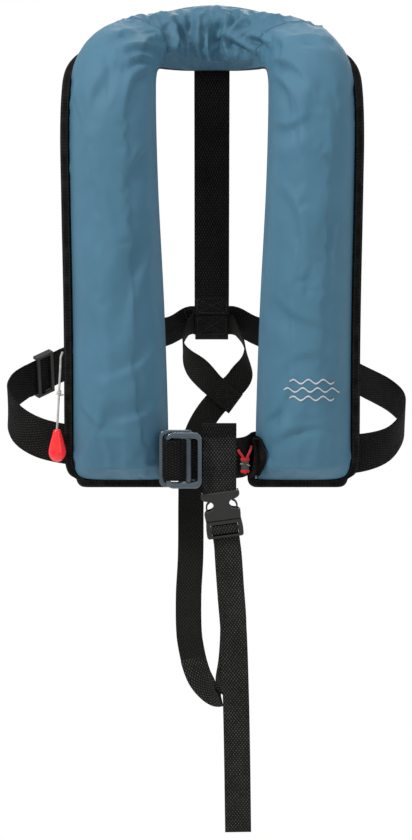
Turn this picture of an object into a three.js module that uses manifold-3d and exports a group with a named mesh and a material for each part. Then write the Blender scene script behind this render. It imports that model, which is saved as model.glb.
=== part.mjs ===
// An automatic inflatable life jacket of the horseshoe kind, with a harness belt and a crotch strap.
// Millimetres. +X to the right of someone facing the jacket, -Y towards that person, +Z up.
// Origin: the middle of the collar's inner edge, where the collar lies on the nape of the neck.
import * as THREE from "three";
import { mergeVertices } from "three/addons/utils/BufferGeometryUtils.js";
import Module from "manifold-3d";

const wasm = await Module();
wasm.setup();

// ---------------------------------------------------------------- driving dimensions

const GAP = 0.3; // clearance between pieces that touch
const CLOTH = 1.2; // cover fabric with its lining
const PANEL = 1.5; // back panel
const PANEL_GAP = 0.6; // between the back panel and the cover's rim
const BINDING_WIDTH = 9;
const BINDING_THICK = 3.4;
const TAPE_WIDTH = 9; // hook and loop tape
const TAPE_THICK = 0.9;

const BELT_WIDTH = 45;
const BELT_THICK = 1.6;
const BELT_FRONT_Z = -416; // centre line of the belt across the chest
const BACK_STRAP_WIDTH = 40;
const CROTCH_WIDTH = 29;
const CROTCH_THICK = 1.4;
const HANGER_WIDTH = 36.6;

const LOBE_BACK_Y = -112; // plane of the lobes' back panels
const LOBE_DEPTH = 54; // how far the packed lobes stand proud of it
const LOBE_BOTTOM_Z = -446;

const GAS_CYLINDER_RADIUS = 14.5; // a 33 g carbon dioxide cylinder
const GAS_CYLINDER_LENGTH = 128;

// ---------------------------------------------------------------- materials

const finish = (color, roughness, metalness = 0) =>
  new THREE.MeshStandardMaterial({ color, roughness, metalness });

const materials = {
  cover: () => finish(0x5886a2, 0.55),
  lining: () => finish(0x22303a, 0.8),
  binding: () => finish(0x1a1917, 0.85),
  tape: () => finish(0x161616, 0.95),
  webbing: () => finish(0x1b1b1a, 0.8),
  bladder: () => finish(0xe6c229, 0.5),
  steel: () => finish(0xb4bcc2, 0.22, 1),
  plastic: () => finish(0x2b2b29, 0.45),
  red: () => finish(0xe02028, 0.35),
  cord: () => finish(0xe8e4da, 0.8),
  redCord: () => finish(0xc8202c, 0.7),
  greyGas: () => finish(0x8f979b, 0.35, 1),
  green: () => finish(0x2f9a4a, 0.5),
  yellowPlastic: () => finish(0xe0b020, 0.4),
  pressedSalt: () => finish(0xf2efe6, 0.9),
  orange: () => finish(0xe8641e, 0.45),
};

// ---------------------------------------------------------------- solids

const vector = (p) => new THREE.Vector3(...p);

// Volume of a closed triangle mesh, negative when its faces point inwards.
function signedVolume(position, index) {
  const a = new THREE.Vector3();
  const b = new THREE.Vector3();
  const c = new THREE.Vector3();
  let sum = 0;
  for (let i = 0; i < index.length; i += 3) {
    a.fromBufferAttribute(position, index[i]);
    b.fromBufferAttribute(position, index[i + 1]);
    c.fromBufferAttribute(position, index[i + 2]);
    sum += a.dot(b.cross(c)) / 6;
  }
  return sum;
}

// Merges shared vertices, drops triangles with no area and turns the faces outwards.
function closed(geometry) {
  const bare = new THREE.BufferGeometry().setAttribute("position", geometry.getAttribute("position"));
  bare.setIndex(geometry.index);
  const merged = mergeVertices(bare, 1e-4);
  const index = [];
  for (let i = 0; i < merged.index.count; i += 3) {
    const [a, b, c] = [0, 1, 2].map((k) => merged.index.getX(i + k));
    if (a !== b && b !== c && c !== a) index.push(a, b, c);
  }
  if (signedVolume(merged.getAttribute("position"), index) < 0) index.reverse();
  merged.setIndex(index);
  merged.computeVertexNormals();
  return merged;
}

function solid(geometry) {
  const g = closed(geometry);
  return new wasm.Manifold(
    new wasm.Mesh({
      numProp: 3,
      vertProperties: g.getAttribute("position").array,
      triVerts: new Uint32Array(g.index.array),
    }),
  );
}

function geometryOf(manifold) {
  const mesh = manifold.getMesh();
  const geometry = new THREE.BufferGeometry();
  geometry.setAttribute("position", new THREE.BufferAttribute(mesh.vertProperties, 3));
  geometry.setIndex(new THREE.BufferAttribute(mesh.triVerts, 1));
  return geometry;
}

const join = (first, ...others) =>
  geometryOf(others.reduce((sum, g) => sum.add(solid(g)), solid(first)));
const cut = (first, ...others) =>
  geometryOf(others.reduce((sum, g) => sum.subtract(solid(g)), solid(first)));

// A closed sheet from two grids of points, its front and its back, joined round their rims.
function slab(front, back) {
  const rows = front.length;
  const cols = front[0].length;
  const at = (side, i, j) => (side * rows + i) * cols + j;
  const index = [];
  const quad = (a, b, c, d) => index.push(a, b, c, a, c, d);
  for (let i = 0; i < rows - 1; i++) {
    for (let j = 0; j < cols - 1; j++) {
      quad(at(0, i, j), at(0, i, j + 1), at(0, i + 1, j + 1), at(0, i + 1, j));
      quad(at(1, i, j), at(1, i + 1, j), at(1, i + 1, j + 1), at(1, i, j + 1));
    }
    quad(at(0, i, 0), at(0, i + 1, 0), at(1, i + 1, 0), at(1, i, 0));
    quad(at(0, i, cols - 1), at(1, i, cols - 1), at(1, i + 1, cols - 1), at(0, i + 1, cols - 1));
  }
  for (let j = 0; j < cols - 1; j++) {
    quad(at(0, 0, j), at(1, 0, j), at(1, 0, j + 1), at(0, 0, j + 1));
    quad(at(0, rows - 1, j), at(0, rows - 1, j + 1), at(1, rows - 1, j + 1), at(1, rows - 1, j));
  }
  const points = [...front.flat(), ...back.flat()];
  const geometry = new THREE.BufferGeometry().setFromPoints(points);
  return closed(geometry.setIndex(index));
}

// A strap: a flat section swept along points, its width lying along the vectors in across.
function strap(points, across, width, thick, stepsPerSpan = 3) {
  const line = new THREE.CatmullRomCurve3(points.map(vector));
  const sides = new THREE.CatmullRomCurve3(across.map(vector));
  const steps = (points.length - 1) * stepsPerSpan;
  const front = [];
  const back = [];
  for (let i = 0; i <= steps; i++) {
    const centre = line.getPoint(i / steps);
    const along = line.getTangent(i / steps);
    const side = sides.getPoint(i / steps);
    side.addScaledVector(along, -side.dot(along)).normalize();
    const face = along.clone().cross(side).normalize();
    const corner = (s, f) =>
      centre.clone().addScaledVector(side, (s * width) / 2).addScaledVector(face, (f * thick) / 2);
    front.push([corner(-1, 1), corner(1, 1)]);
    back.push([corner(-1, -1), corner(1, -1)]);
  }
  return slab(front, back);
}

// A round cord or wire along points.
function cord(points, diameter, steps, sides = 8) {
  const section = new THREE.Shape(
    Array.from({ length: sides }, (_, i) => {
      const a = (i / sides) * 2 * Math.PI;
      return new THREE.Vector2((diameter / 2) * Math.cos(a), (diameter / 2) * Math.sin(a));
    }),
  );
  const path = new THREE.CatmullRomCurve3(points.map(vector));
  return closed(new THREE.ExtrudeGeometry(section, { steps, extrudePath: path, bevelEnabled: false }));
}

function box(width, depth, height, x = 0, y = 0, z = 0) {
  return new THREE.BoxGeometry(width, depth, height).translate(x, y, z);
}

// Round pieces stand along +Z, from z0 to z1.
function rod(radius, z0, z1, sides = 24) {
  const body = new THREE.CylinderGeometry(radius, radius, z1 - z0, sides);
  return closed(body.rotateX(Math.PI / 2).translate(0, 0, (z0 + z1) / 2));
}

// A turned piece along +Z from [radius, z] points.
function turned(profile, sides = 24) {
  const points = profile.map(([r, z]) => new THREE.Vector2(r, z));
  return closed(new THREE.LatheGeometry(points, sides).rotateX(Math.PI / 2));
}

function roundedRectangle(target, width, height, radius) {
  const x = width / 2;
  const y = height / 2;
  target.moveTo(-x + radius, -y);
  target.lineTo(x - radius, -y);
  target.absarc(x - radius, -y + radius, radius, -Math.PI / 2, 0);
  target.lineTo(x, y - radius);
  target.absarc(x - radius, y - radius, radius, 0, Math.PI / 2);
  target.lineTo(-x + radius, y);
  target.absarc(-x + radius, y - radius, radius, Math.PI / 2, Math.PI);
  target.lineTo(-x, -y + radius);
  target.absarc(-x + radius, -y + radius, radius, Math.PI, 1.5 * Math.PI);
  return target;
}

// A flat piece in the XZ plane, thick along Y and centred on it, with its edges rounded by bevel.
function plate(shape, thick, bevel = 0, curveSegments = 5) {
  const body = new THREE.ExtrudeGeometry(shape, {
    depth: thick - 2 * bevel,
    bevelEnabled: bevel > 0,
    bevelSize: bevel,
    bevelThickness: bevel,
    bevelOffset: -bevel,
    bevelSegments: 1,
    curveSegments,
  });
  return closed(body.translate(0, 0, -(thick - 2 * bevel) / 2).rotateX(Math.PI / 2));
}

const jacket = new THREE.Group();
jacket.name = "inflatable_life_jacket";

// Adds a piece to a group, placed in the group's own frame.
function piece(group, name, geometry, material, place = [0, 0, 0]) {
  const mesh = new THREE.Mesh(geometry, material);
  mesh.name = name;
  mesh.position.set(...place);
  group.add(mesh);
  return mesh;
}

function groupAt(place, parent = jacket) {
  const group = new THREE.Group();
  group.position.set(...place);
  parent.add(group);
  return group;
}

// ---------------------------------------------------------------- the horseshoe

// Sections up one side, from the bottom of a lobe to the middle of the collar: the folded inner edge,
// the outer edge that the binding closes, and how far the packed cover stands proud.
const SECTIONS = [
  { inner: [49, LOBE_BACK_Y, LOBE_BOTTOM_Z], outer: [141, LOBE_BACK_Y, LOBE_BOTTOM_Z], crown: 7 },
  { inner: [48.8, LOBE_BACK_Y, -440], outer: [149, LOBE_BACK_Y, -441], crown: 21 },
  { inner: [48.5, LOBE_BACK_Y, -426], outer: [153.5, LOBE_BACK_Y, -428], crown: 38 },
  { inner: [48.5, LOBE_BACK_Y, -389], outer: [154, LOBE_BACK_Y, -389], crown: 50 },
  { inner: [50.5, LOBE_BACK_Y, -310], outer: [153.6, LOBE_BACK_Y, -310], crown: LOBE_DEPTH },
  { inner: [53, LOBE_BACK_Y, -242], outer: [153.8, LOBE_BACK_Y, -242], crown: LOBE_DEPTH },
  { inner: [58.5, LOBE_BACK_Y, -128], outer: [155, LOBE_BACK_Y, -128], crown: 52 },
  { inner: [60.5, -110, -60], outer: [155.4, -110, -60], crown: 50 },
  { inner: [61, -104, -20], outer: [154, -104, -22], crown: 48 },
  { inner: [61, -94, -7], outer: [151.8, -89, -2], crown: 46 },
  { inner: [60.2, -82, 1], outer: [145, -68, 11], crown: 44 },
  { inner: [59, -67, 4.5], outer: [131, -43, 20.6], crown: 42 },
  { inner: [56.5, -50, 5], outer: [110, -20, 31], crown: 40 },
  { inner: [48, -31, 3], outer: [81, 0, 42.6], crown: 38 },
  { inner: [28, -12, 0.5], outer: [45, 15, 58], crown: 36 },
  { inner: [0, 0, 0], outer: [0, 22, 68], crown: 35 },
];
const MIDDLE = SECTIONS.length - 1; // sections are counted from the left lobe's bottom
const LAST = 2 * MIDDLE;
const SEAM = 12.4; // where the collar piece is sewn to a lobe

const evenly = (from, to, count) =>
  Array.from({ length: count }, (_, i) => from + ((to - from) * i) / (count - 1));
const LAP = 0.012; // leaves GAP between pieces at the seams
const LOBE_STEPS = evenly(0, SEAM - LAP, 20); // shared by everything that lies along a lobe
const NECK_STEPS = evenly(SEAM + LAP, LAST - SEAM - LAP, 13);
const BINDING_STEPS = 18; // the binding turns out of sight behind the shoulder

const mirrored = ([x, y, z]) => [-x, y, z];
const allSections = [
  ...SECTIONS.map((s) => ({ ...s, inner: mirrored(s.inner), outer: mirrored(s.outer) })),
  ...SECTIONS.slice(0, -1).reverse(),
];
const innerEdge = new THREE.CatmullRomCurve3(allSections.map((s) => vector(s.inner)));
const outerEdge = new THREE.CatmullRomCurve3(allSections.map((s) => vector(s.outer)));
const crownLine = new THREE.CatmullRomCurve3(allSections.map((s, i) => vector([s.crown, i, 0])));

// The local frame of the horseshoe at section s: its edges, the way across and the way out.
function sectionAt(s) {
  const t = THREE.MathUtils.clamp(s / LAST, 0, 1);
  const inner = innerEdge.getPoint(t);
  const outer = outerEdge.getPoint(t);
  const along = innerEdge.getTangent(t).add(outerEdge.getTangent(t)).normalize();
  const across = outer.clone().sub(inner);
  const out = along.clone().cross(across).normalize();
  return { inner, across, out, along, width: across.length(), crown: crownLine.getPoint(t).x };
}

// A point of the section: v runs from the inner edge to the outer one, up is the height above them.
const pointAt = (section, v, up) =>
  section.inner.clone().addScaledVector(section.across, v).addScaledVector(section.out, up);

// The rounded outline of a packed cover, 1 at its top and 0 at both edges.
const crownShape = (v) => Math.pow(Math.max(0, 1 - Math.pow(Math.abs(2 * v - 1), 2.4)), 0.55);

const onSide = (side) => (s) => sectionAt(side > 0 ? LAST - s : s);
const COLUMNS = evenly(0, Math.PI, 13).map((a) => (1 - Math.cos(a)) / 2);

// The front cover over a row of sections: a crowned shell, open at the back.
function coverShell(sections) {
  const front = [];
  const back = [];
  for (const section of sections) {
    const inset = CLOTH / section.width;
    front.push(COLUMNS.map((v) => pointAt(section, v, section.crown * crownShape(v))));
    back.push(
      COLUMNS.map((v) =>
        pointAt(section, inset + v * (1 - 2 * inset), (section.crown - CLOTH) * crownShape(v)),
      ),
    );
  }
  return slab(front, back);
}

const DOWN = new THREE.Vector3(0, 0, -1);
const outwards = (side) => new THREE.Vector3(side, 0, 0);

// The back panel of a lobe: flat, out to the edge of the binding and down below the cover.
function lobePanel(side) {
  const front = [];
  const back = [];
  const row = (section, up) =>
    [0, 0.5, 1, 1 + BINDING_WIDTH / section.width].map((v) => pointAt(section, v, up));
  for (const section of LOBE_STEPS.map(onSide(side))) {
    front.push(row(section, -PANEL_GAP));
    back.push(row(section, -PANEL_GAP - PANEL));
  }
  for (const grid of [front, back]) {
    const hem = grid[0].slice(0, 3).map((p) => p.clone().addScaledVector(DOWN, BINDING_WIDTH));
    const corner = grid[0][2].clone().addScaledVector(DOWN, 6.5).addScaledVector(outwards(side), 6.5);
    grid.unshift([...hem, corner]);
  }
  return slab(front, back);
}

// The binding tape: down the outer edge of a lobe, round its corner and in along its bottom.
function binding(side) {
  const front = [];
  const back = [];
  const add = (point, away, up) => {
    for (const [grid, height] of [[front, BINDING_THICK], [back, 0]]) {
      const row = [GAP, GAP + BINDING_WIDTH].map((d) => point.clone().addScaledVector(away, d));
      grid.push(row.map((p) => p.addScaledVector(up, height)));
    }
  };
  const sections = LOBE_STEPS.slice(0, BINDING_STEPS).map(onSide(side));
  for (const section of [...sections].reverse()) {
    add(pointAt(section, 1, 0), section.across.clone().normalize(), section.out);
  }
  const bottom = sections[0];
  add(pointAt(bottom, 1, 0), DOWN.clone().add(outwards(side)).normalize(), bottom.out);
  for (const v of evenly(0.97, 0, 6)) add(pointAt(bottom, v, 0), DOWN, bottom.out);
  return slab(front, back);
}

// One strip of the hook and loop closure, inside the cover beside its outer edge.
function closureTape(side, up) {
  const front = [];
  const back = [];
  for (const section of LOBE_STEPS.slice(3, 17).map(onSide(side))) {
    const outside = 1 - 11 / section.width;
    const edges = [outside - TAPE_WIDTH / section.width, outside];
    front.push(edges.map((v) => pointAt(section, v, up + TAPE_THICK)));
    back.push(edges.map((v) => pointAt(section, v, up)));
  }
  return slab(front, back);
}

// How much of the crown the folded bladder fills: little beside the inflator and the oral tube.
const bladderFill = (z) => (z > -375 && z < -120 ? 0.16 : 0.58);

function foldedBladder() {
  const columns = evenly(0.17, 0.71, 6);
  const front = [];
  const back = [];
  const steps = [
    ...LOBE_STEPS.slice(2),
    ...NECK_STEPS.slice(1, -1),
    ...LOBE_STEPS.slice(2).reverse().map((s) => LAST - s),
  ];
  for (const s of steps) {
    const section = sectionAt(s);
    const fill = bladderFill(section.inner.z) * (section.crown - CLOTH);
    front.push(columns.map((v) => pointAt(section, v, 3 + fill * crownShape(v))));
    back.push(columns.map((v) => pointAt(section, v, 2.6)));
  }
  return slab(front, back);
}

// The way out of the jacket for the pull cord: a notch in the edge of the left back panel.
const CORD_EXIT = [-164.6, -110.3, -304];
const cordNotch = box(40, 6, 8, CORD_EXIT[0] + 17, CORD_EXIT[1], CORD_EXIT[2]);

// The back of the collar, bowed out so that the collar is a round roll.
function neckPanel() {
  const NECK_BOW = 11;
  const front = [];
  const back = [];
  for (const s of NECK_STEPS) {
    const section = sectionAt(s);
    const share = 1 - Math.abs(s - MIDDLE) / (MIDDLE - SEAM);
    const bow = (v) => NECK_BOW * Math.sin(Math.PI * v) * Math.sqrt(Math.max(share, 0));
    front.push(evenly(0, 1, 5).map((v) => pointAt(section, v, -PANEL_GAP - bow(v))));
    back.push(evenly(0, 1, 5).map((v) => pointAt(section, v, -PANEL_GAP - PANEL - bow(v))));
  }
  return slab(front, back);
}

// The dark facing round the hole by which the belt leaves the right lobe. Its rows run from a lip in
// front of the belt to a tongue over the lobe, widest at mid height: section, lip's x and y, reach.
const FACING = [
  [0.85, 41, -131.5, 0.04],
  [1.45, 43.5, -133, 0.07],
  [1.95, 45.5, -134, 0.1],
  [2.35, 46.8, -134, 0.118],
  [2.55, 46.5, -134, 0.105],
  [2.7, 45.5, -133.5, 0.075],
  [2.87, 44, -133, 0.045],
];
function cornerPatch() {
  const front = [];
  const back = [];
  for (const [s, x, y, reach] of FACING) {
    const section = sectionAt(LAST - s);
    const aside = section.across.clone().normalize();
    const z = section.inner.z;
    const row = (off) => [
      new THREE.Vector3(x, y - off, z),
      new THREE.Vector3(x + 3, y - 1.8 - off, z),
      ...evenly(0.4 * reach, reach, 3).map((v) =>
        pointAt(section, v, section.crown * crownShape(v) + off).addScaledVector(aside, -off),
      ),
    ];
    front.push(row(1.5));
    back.push(row(0.6));
  }
  return slab(front, back);
}

function buildHorseshoe() {
  const cover = materials.cover;
  piece(jacket, "left_front_cover", coverShell(LOBE_STEPS.map(onSide(-1))), cover());
  piece(jacket, "right_front_cover", coverShell(LOBE_STEPS.map(onSide(1)).reverse()), cover());
  piece(jacket, "neck_cover", coverShell(NECK_STEPS.map(sectionAt)), cover());

  piece(jacket, "left_back_panel", cut(lobePanel(-1), cordNotch), materials.lining());
  piece(jacket, "right_back_panel", lobePanel(1), materials.lining());
  piece(jacket, "neck_back_panel", neckPanel(), materials.lining());

  piece(jacket, "left_binding", binding(-1), materials.binding());
  piece(jacket, "right_binding", binding(1), materials.binding());
  for (const [name, side] of [["left", -1], ["right", 1]]) {
    piece(jacket, `${name}_hook_tape`, closureTape(side, 0.8), materials.tape());
    piece(jacket, `${name}_loop_tape`, closureTape(side, 1.1 + TAPE_THICK), materials.tape());
  }
  piece(jacket, "bladder", foldedBladder(), materials.bladder());
  piece(jacket, "right_corner_patch", cornerPatch(), materials.binding());
}

buildHorseshoe();

// ---------------------------------------------------------------- the inflator, in the left lobe

const INFLATOR_AT = [-97, -142.5, -306];
const HEAD = { width: 32, depth: 25, top: 20, bottom: -34 };
const SOCKET_RADIUS = 6.8;
const STEM_Z = -18; // the bladder's stem passes through the head here
const LEVER_AT = [-20, 0, 2]; // pivot of the firing lever
const LEVER_LENGTH = 19;

function buildInflator() {
  const group = groupAt(INFLATOR_AT);

  const ear = (y) => box(9, 3, 9, -HEAD.width / 2 - 4, y, LEVER_AT[2]);
  const block = box(HEAD.width, HEAD.depth, HEAD.top - HEAD.bottom, 0, 0, (HEAD.top + HEAD.bottom) / 2);
  const head = cut(
    join(block, ear(-5.3), ear(5.3)),
    rod(SOCKET_RADIUS, 5, HEAD.top + 1),
    rod(2.6, -9, 6, 16),
    rod(5.3, -HEAD.depth, HEAD.depth, 20).rotateX(Math.PI / 2).translate(0, 0, STEM_Z),
    rod(4.6, HEAD.bottom - 1, HEAD.bottom + 8, 20),
    rod(1.8, -20, 20, 12).rotateX(Math.PI / 2).translate(...LEVER_AT),
  );
  piece(group, "inflator_head", head, materials.yellowPlastic());

  const shoulder = 34;
  const top = shoulder + GAS_CYLINDER_LENGTH - 20;
  const neck = SOCKET_RADIUS - 0.6;
  const cylinder = turned([
    [0, 16],
    [3, 16],
    [3, 7],
    [neck, 7],
    [neck, 24],
    [10, 29],
    [GAS_CYLINDER_RADIUS, shoulder + 4],
    [GAS_CYLINDER_RADIUS, top - 6],
    [11.5, top - 1.5],
    [0, top],
  ]);
  piece(group, "gas_cylinder", cylinder, materials.greyGas());
  const gasket = turned([[3.4, 5.3], [neck, 5.3], [neck, 6.6], [3.4, 6.6], [3.4, 5.3]], 20);
  piece(group, "cylinder_gasket", gasket, materials.tape());
  const firingPin = turned([[0, -8], [2.1, -8], [2.1, 2], [0, 5.5]], 12);
  piece(group, "firing_pin", firingPin, materials.steel());

  const acrossRod = (radius, half, x = 0) =>
    rod(radius, -half, half, 14).rotateX(Math.PI / 2).translate(x, 0, 0);
  const lever = cut(
    join(
      box(LEVER_LENGTH - 3, 4, 5, -LEVER_LENGTH / 2, 0, 0),
      acrossRod(3.4, 2),
      acrossRod(3, 2, -LEVER_LENGTH),
    ),
    acrossRod(1.8, 9),
    acrossRod(1.4, 9, -LEVER_LENGTH),
  );
  const firingLever = piece(group, "firing_lever", lever, materials.yellowPlastic(), LEVER_AT);
  firingLever.rotation.y = THREE.MathUtils.degToRad(20);
  piece(group, "lever_pin", acrossRod(1.5, 7.5), materials.steel(), LEVER_AT);
  piece(group, "lever_clip", box(7, 1.6, 8), materials.green(), [LEVER_AT[0] - 2, 8.6, LEVER_AT[2]]);

  // The automatic release hangs under the head: a cap, a spring, and a pin held back by a salt bobbin.
  const release = groupAt([0, 0, HEAD.bottom - GAP], group);
  release.rotation.x = Math.PI;
  const cap = turned([[9, 0], [11, 0], [11, 17], [9.5, 19], [0, 19], [0, 16.5], [9, 16.5], [9, 0]], 24);
  piece(release, "auto_cap", cap, materials.plastic());
  const bobbin = turned([[2.6, 0], [7.6, 0], [7.6, 5], [2.6, 5], [2.6, 0]], 20);
  piece(release, "water_bobbin", bobbin, materials.pressedSalt(), [0, 0, 0.6]);
  const turns = 4;
  const coil = Array.from({ length: turns * 8 + 1 }, (_, i) => {
    const a = (i / 8) * 2 * Math.PI;
    return [5.6 * Math.cos(a), 5.6 * Math.sin(a), 8.4 + (i / (turns * 8)) * 6.6];
  });
  piece(release, "hammer_spring", cord(coil, 1, turns * 9, 6), materials.steel());
  const hammer = turned([[0, -7.5], [2, -7], [2, 5.9], [7, 5.9], [7, 7.4], [0, 7.4]], 16);
  piece(release, "hammer_pin", hammer, materials.steel());

  const stem = groupAt([0, 0, STEM_Z], group);
  stem.rotation.x = Math.PI / 2;
  const manifold = turned([[0, -15.2], [17, -15.2], [17, -13.2], [4.9, -13.2], [4.9, 18.2], [0, 18.2]], 24);
  piece(stem, "bladder_manifold", manifold, materials.plastic());
  piece(stem, "manifold_nut", cut(rod(9, 12.9, 17.4, 6), rod(5.3, 12, 18.4, 20)), materials.plastic());
}

buildInflator();

// ---------------------------------------------------------------- the pull cord and its handle

const CORD_DIAMETER = 2.4;
const HANDLE_LENGTH = 36;
const HANDLE_RADIUS = 9.7;
// The free cord hangs from the notch to the handle; each point leans a little further out.
const PULL_CORD = [
  CORD_EXIT,
  [-166.5, -112.2, -309],
  [-166.9, -113.7, -314.5],
  [-167.1, -115.1, -320.1],
  [-167.4, -116.4, -325.7],
  [-167.7, -117.6, -331.2],
  [-168, -118.7, -336.9],
  [-168.3, -119.7, -342.5],
  [-168.6, -120.6, -348.2],
  [-168.9, -121.4, -353.8],
  [-169.2, -122.2, -359.5],
  [-169.5, -122.8, -365.2],
  [-169.9, -123.4, -370.9],
  [-170.2, -123.8, -376.6],
  [-170.6, -124, -382.3],
  [-171, -124, -388],
];
const KNOT_POINT = 8; // the knot sits on this point of the cord
const CORD_SPANS = 20;

function buildPullCord() {
  const inside = [
    [-134.9, -138.7, -297.5],
    [-133.4, -134, -299],
    [-129.8, -124, -301.5],
    [-130.4, -113.8, -303.4],
    [-136, -110.3, -304],
    [-150, -110.3, -304],
    [CORD_EXIT[0] + 1.2, CORD_EXIT[1], CORD_EXIT[2]],
  ];
  piece(jacket, "inner_cord", cord(inside, CORD_DIAMETER, 14), materials.cord());
  piece(jacket, "pull_cord", cord(PULL_CORD, CORD_DIAMETER, CORD_SPANS), materials.cord());

  const knot = cut(
    new THREE.SphereGeometry(2.9, 12, 8).scale(1, 0.85, 1.25).translate(...PULL_CORD[KNOT_POINT]),
    cord(PULL_CORD, CORD_DIAMETER + 2 * GAP, CORD_SPANS),
  );
  piece(jacket, "pull_cord_knot", knot, materials.cord());

  const [x, y, z] = PULL_CORD.at(-1);
  const handle = turned([
    [0, -HANDLE_LENGTH],
    [4.2, -HANDLE_LENGTH + 1],
    [7.6, -HANDLE_LENGTH + 3.8],
    [HANDLE_RADIUS - 0.3, -HANDLE_LENGTH + 7.6],
    [HANDLE_RADIUS, -HANDLE_LENGTH + 11],
    [HANDLE_RADIUS - 1.1, -HANDLE_LENGTH + 16],
    [4.6, -4],
    [3.9, -1],
    [3.2, 0],
    [0, 0],
  ]);
  piece(jacket, "pull_handle", handle, materials.red(), [x, y, z - GAP]);
}

buildPullCord();

// ---------------------------------------------------------------- the oral tube, in the right lobe

const ORAL_AT = [112, -141, -330];
const ORAL_TUBE_LENGTH = 105;

function buildOralTube() {
  const group = groupAt(ORAL_AT);
  piece(
    group,
    "oral_tube_flange",
    cut(
      join(
        rod(17, -2, 0).rotateX(Math.PI / 2).translate(0, 15, 0),
        rod(6.6, -15, 4).rotateX(Math.PI / 2),
        rod(9, -7, 6),
      ),
      rod(7.2, 0, 9),
    ),
    materials.plastic(),
  );
  piece(
    group,
    "oral_tube",
    turned([[5.2, GAP], [6.9, GAP], [6.9, ORAL_TUBE_LENGTH], [5.2, ORAL_TUBE_LENGTH], [5.2, GAP]], 20),
    materials.bladder(),
  );
  const valveZ = ORAL_TUBE_LENGTH;
  piece(
    group,
    "oral_valve_body",
    turned([
      [2.4, -8],
      [4.9, -8],
      [4.9, GAP],
      [7.6, GAP],
      [7.6, 14],
      [6.2, 17],
      [4.6, 17],
      [4.6, 4],
      [2.4, 4],
      [2.4, -8],
    ], 20),
    materials.orange(),
    [0, 0, valveZ],
  );
  piece(
    group,
    "valve_poppet",
    turned([[0, -6], [2, -6], [2, 9], [4.1, 9], [4.1, 12], [0, 12]], 16),
    materials.plastic(),
    [0, 0, valveZ],
  );
  piece(
    group,
    "dust_cap",
    turned([[8, 7], [9.4, 7], [9.4, 19], [8, 20.5], [0, 20.5], [0, 18.6], [8, 18.6], [8, 7]], 20),
    materials.orange(),
    [0, 0, valveZ],
  );
}

function buildWhistle() {
  const group = groupAt([80, -140, -262]);
  const whistle = cut(
    plate(roundedRectangle(new THREE.Shape(), 17, 46, 5), 10, 1.5, 3),
    box(11, 4, 30, 0, 0, -9),
    box(9, 12, 2.2, 0, -3, 5),
    rod(2.6, -9, 9, 10).rotateX(Math.PI / 2).translate(0, 0, 18),
  );
  piece(group, "whistle", whistle, materials.orange());
  const lanyard = [
    [0, -2.4, 17.6],
    [0, -9.4, 21.4],
    [5, -7.4, 34],
    [14, -5, 38],
    [22, 0, 34],
    [22.6, 3, 20],
  ];
  piece(group, "whistle_lanyard", cord(lanyard, 2, 16, 6), materials.cord());
}

buildOralTube();
buildWhistle();

// ---------------------------------------------------------------- the waist belt and the back strap

const UP = [0, 0, 1];
const BACK_CENTRE = [0, 75, -294];
const BACK_LEAN = [0, -0.574, 0.819]; // across the belt at the back, where it leans forwards

// A point near the middle of the back: a along the belt's width, b towards the wearer's side of it.
const nearBack = (x, a, b) => [
  x,
  BACK_CENTRE[1] + a * BACK_LEAN[1] - b * BACK_LEAN[2],
  BACK_CENTRE[2] + a * BACK_LEAN[2] + b * BACK_LEAN[1],
];

const ADJUSTER_AT = [-193.5, 11.5, -347.4];
const ADJUSTER_WAY = new THREE.Vector3(19, 17, 6.9).normalize();
const nearAdjuster = (d) => vector(ADJUSTER_AT).addScaledVector(ADJUSTER_WAY, d).toArray();

// From the slide buckle, out behind the left lobe and round to the adjuster and the middle of the back.
const LEFT_BELT = [
  [-46.5, -154.2, BELT_FRONT_Z],
  [-50.6, -154.4, BELT_FRONT_Z],
  [-52.7, -158.4, BELT_FRONT_Z],
  [-50.6, -162.2, BELT_FRONT_Z],
  [-45, -162.7, BELT_FRONT_Z],
  [-37.5, -162.5, BELT_FRONT_Z],
  [-33.8, -159, BELT_FRONT_Z],
  [-33.4, -150, BELT_FRONT_Z],
  [-34, -138, BELT_FRONT_Z],
  [-38, -121, BELT_FRONT_Z],
  [-44.6, -111, BELT_FRONT_Z],
  [-49, -107, BELT_FRONT_Z],
  [-60, -106.3, BELT_FRONT_Z],
  [-110, -106.4, -414],
  [-156, -106.4, -409],
  [-192, -100, -402],
  [-217, -80, -391],
  [-230, -50, -374.5],
  [-226, -24, -362.5],
  nearAdjuster(-27),
  nearAdjuster(-18),
  nearAdjuster(-9),
  nearAdjuster(9),
  nearAdjuster(18),
  nearAdjuster(27),
  [-150, 43.4, -333.6],
  [-114, 60, -322],
  nearBack(-50, -9, 8),
  nearBack(-26, -1, -0.4),
  nearBack(-17.5, 0, 0),
];
const LEFT_LEAN = [
  ...Array(15).fill(UP),
  [0.05, 0, 1],
  [0.06, -0.04, 1],
  [0, -0.12, 0.99],
  [0, -0.25, 0.97],
  ...Array(7).fill([0, -0.36, 0.93]),
  [0, -0.46, 0.89],
  ...Array(3).fill(BACK_LEAN),
];

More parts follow.
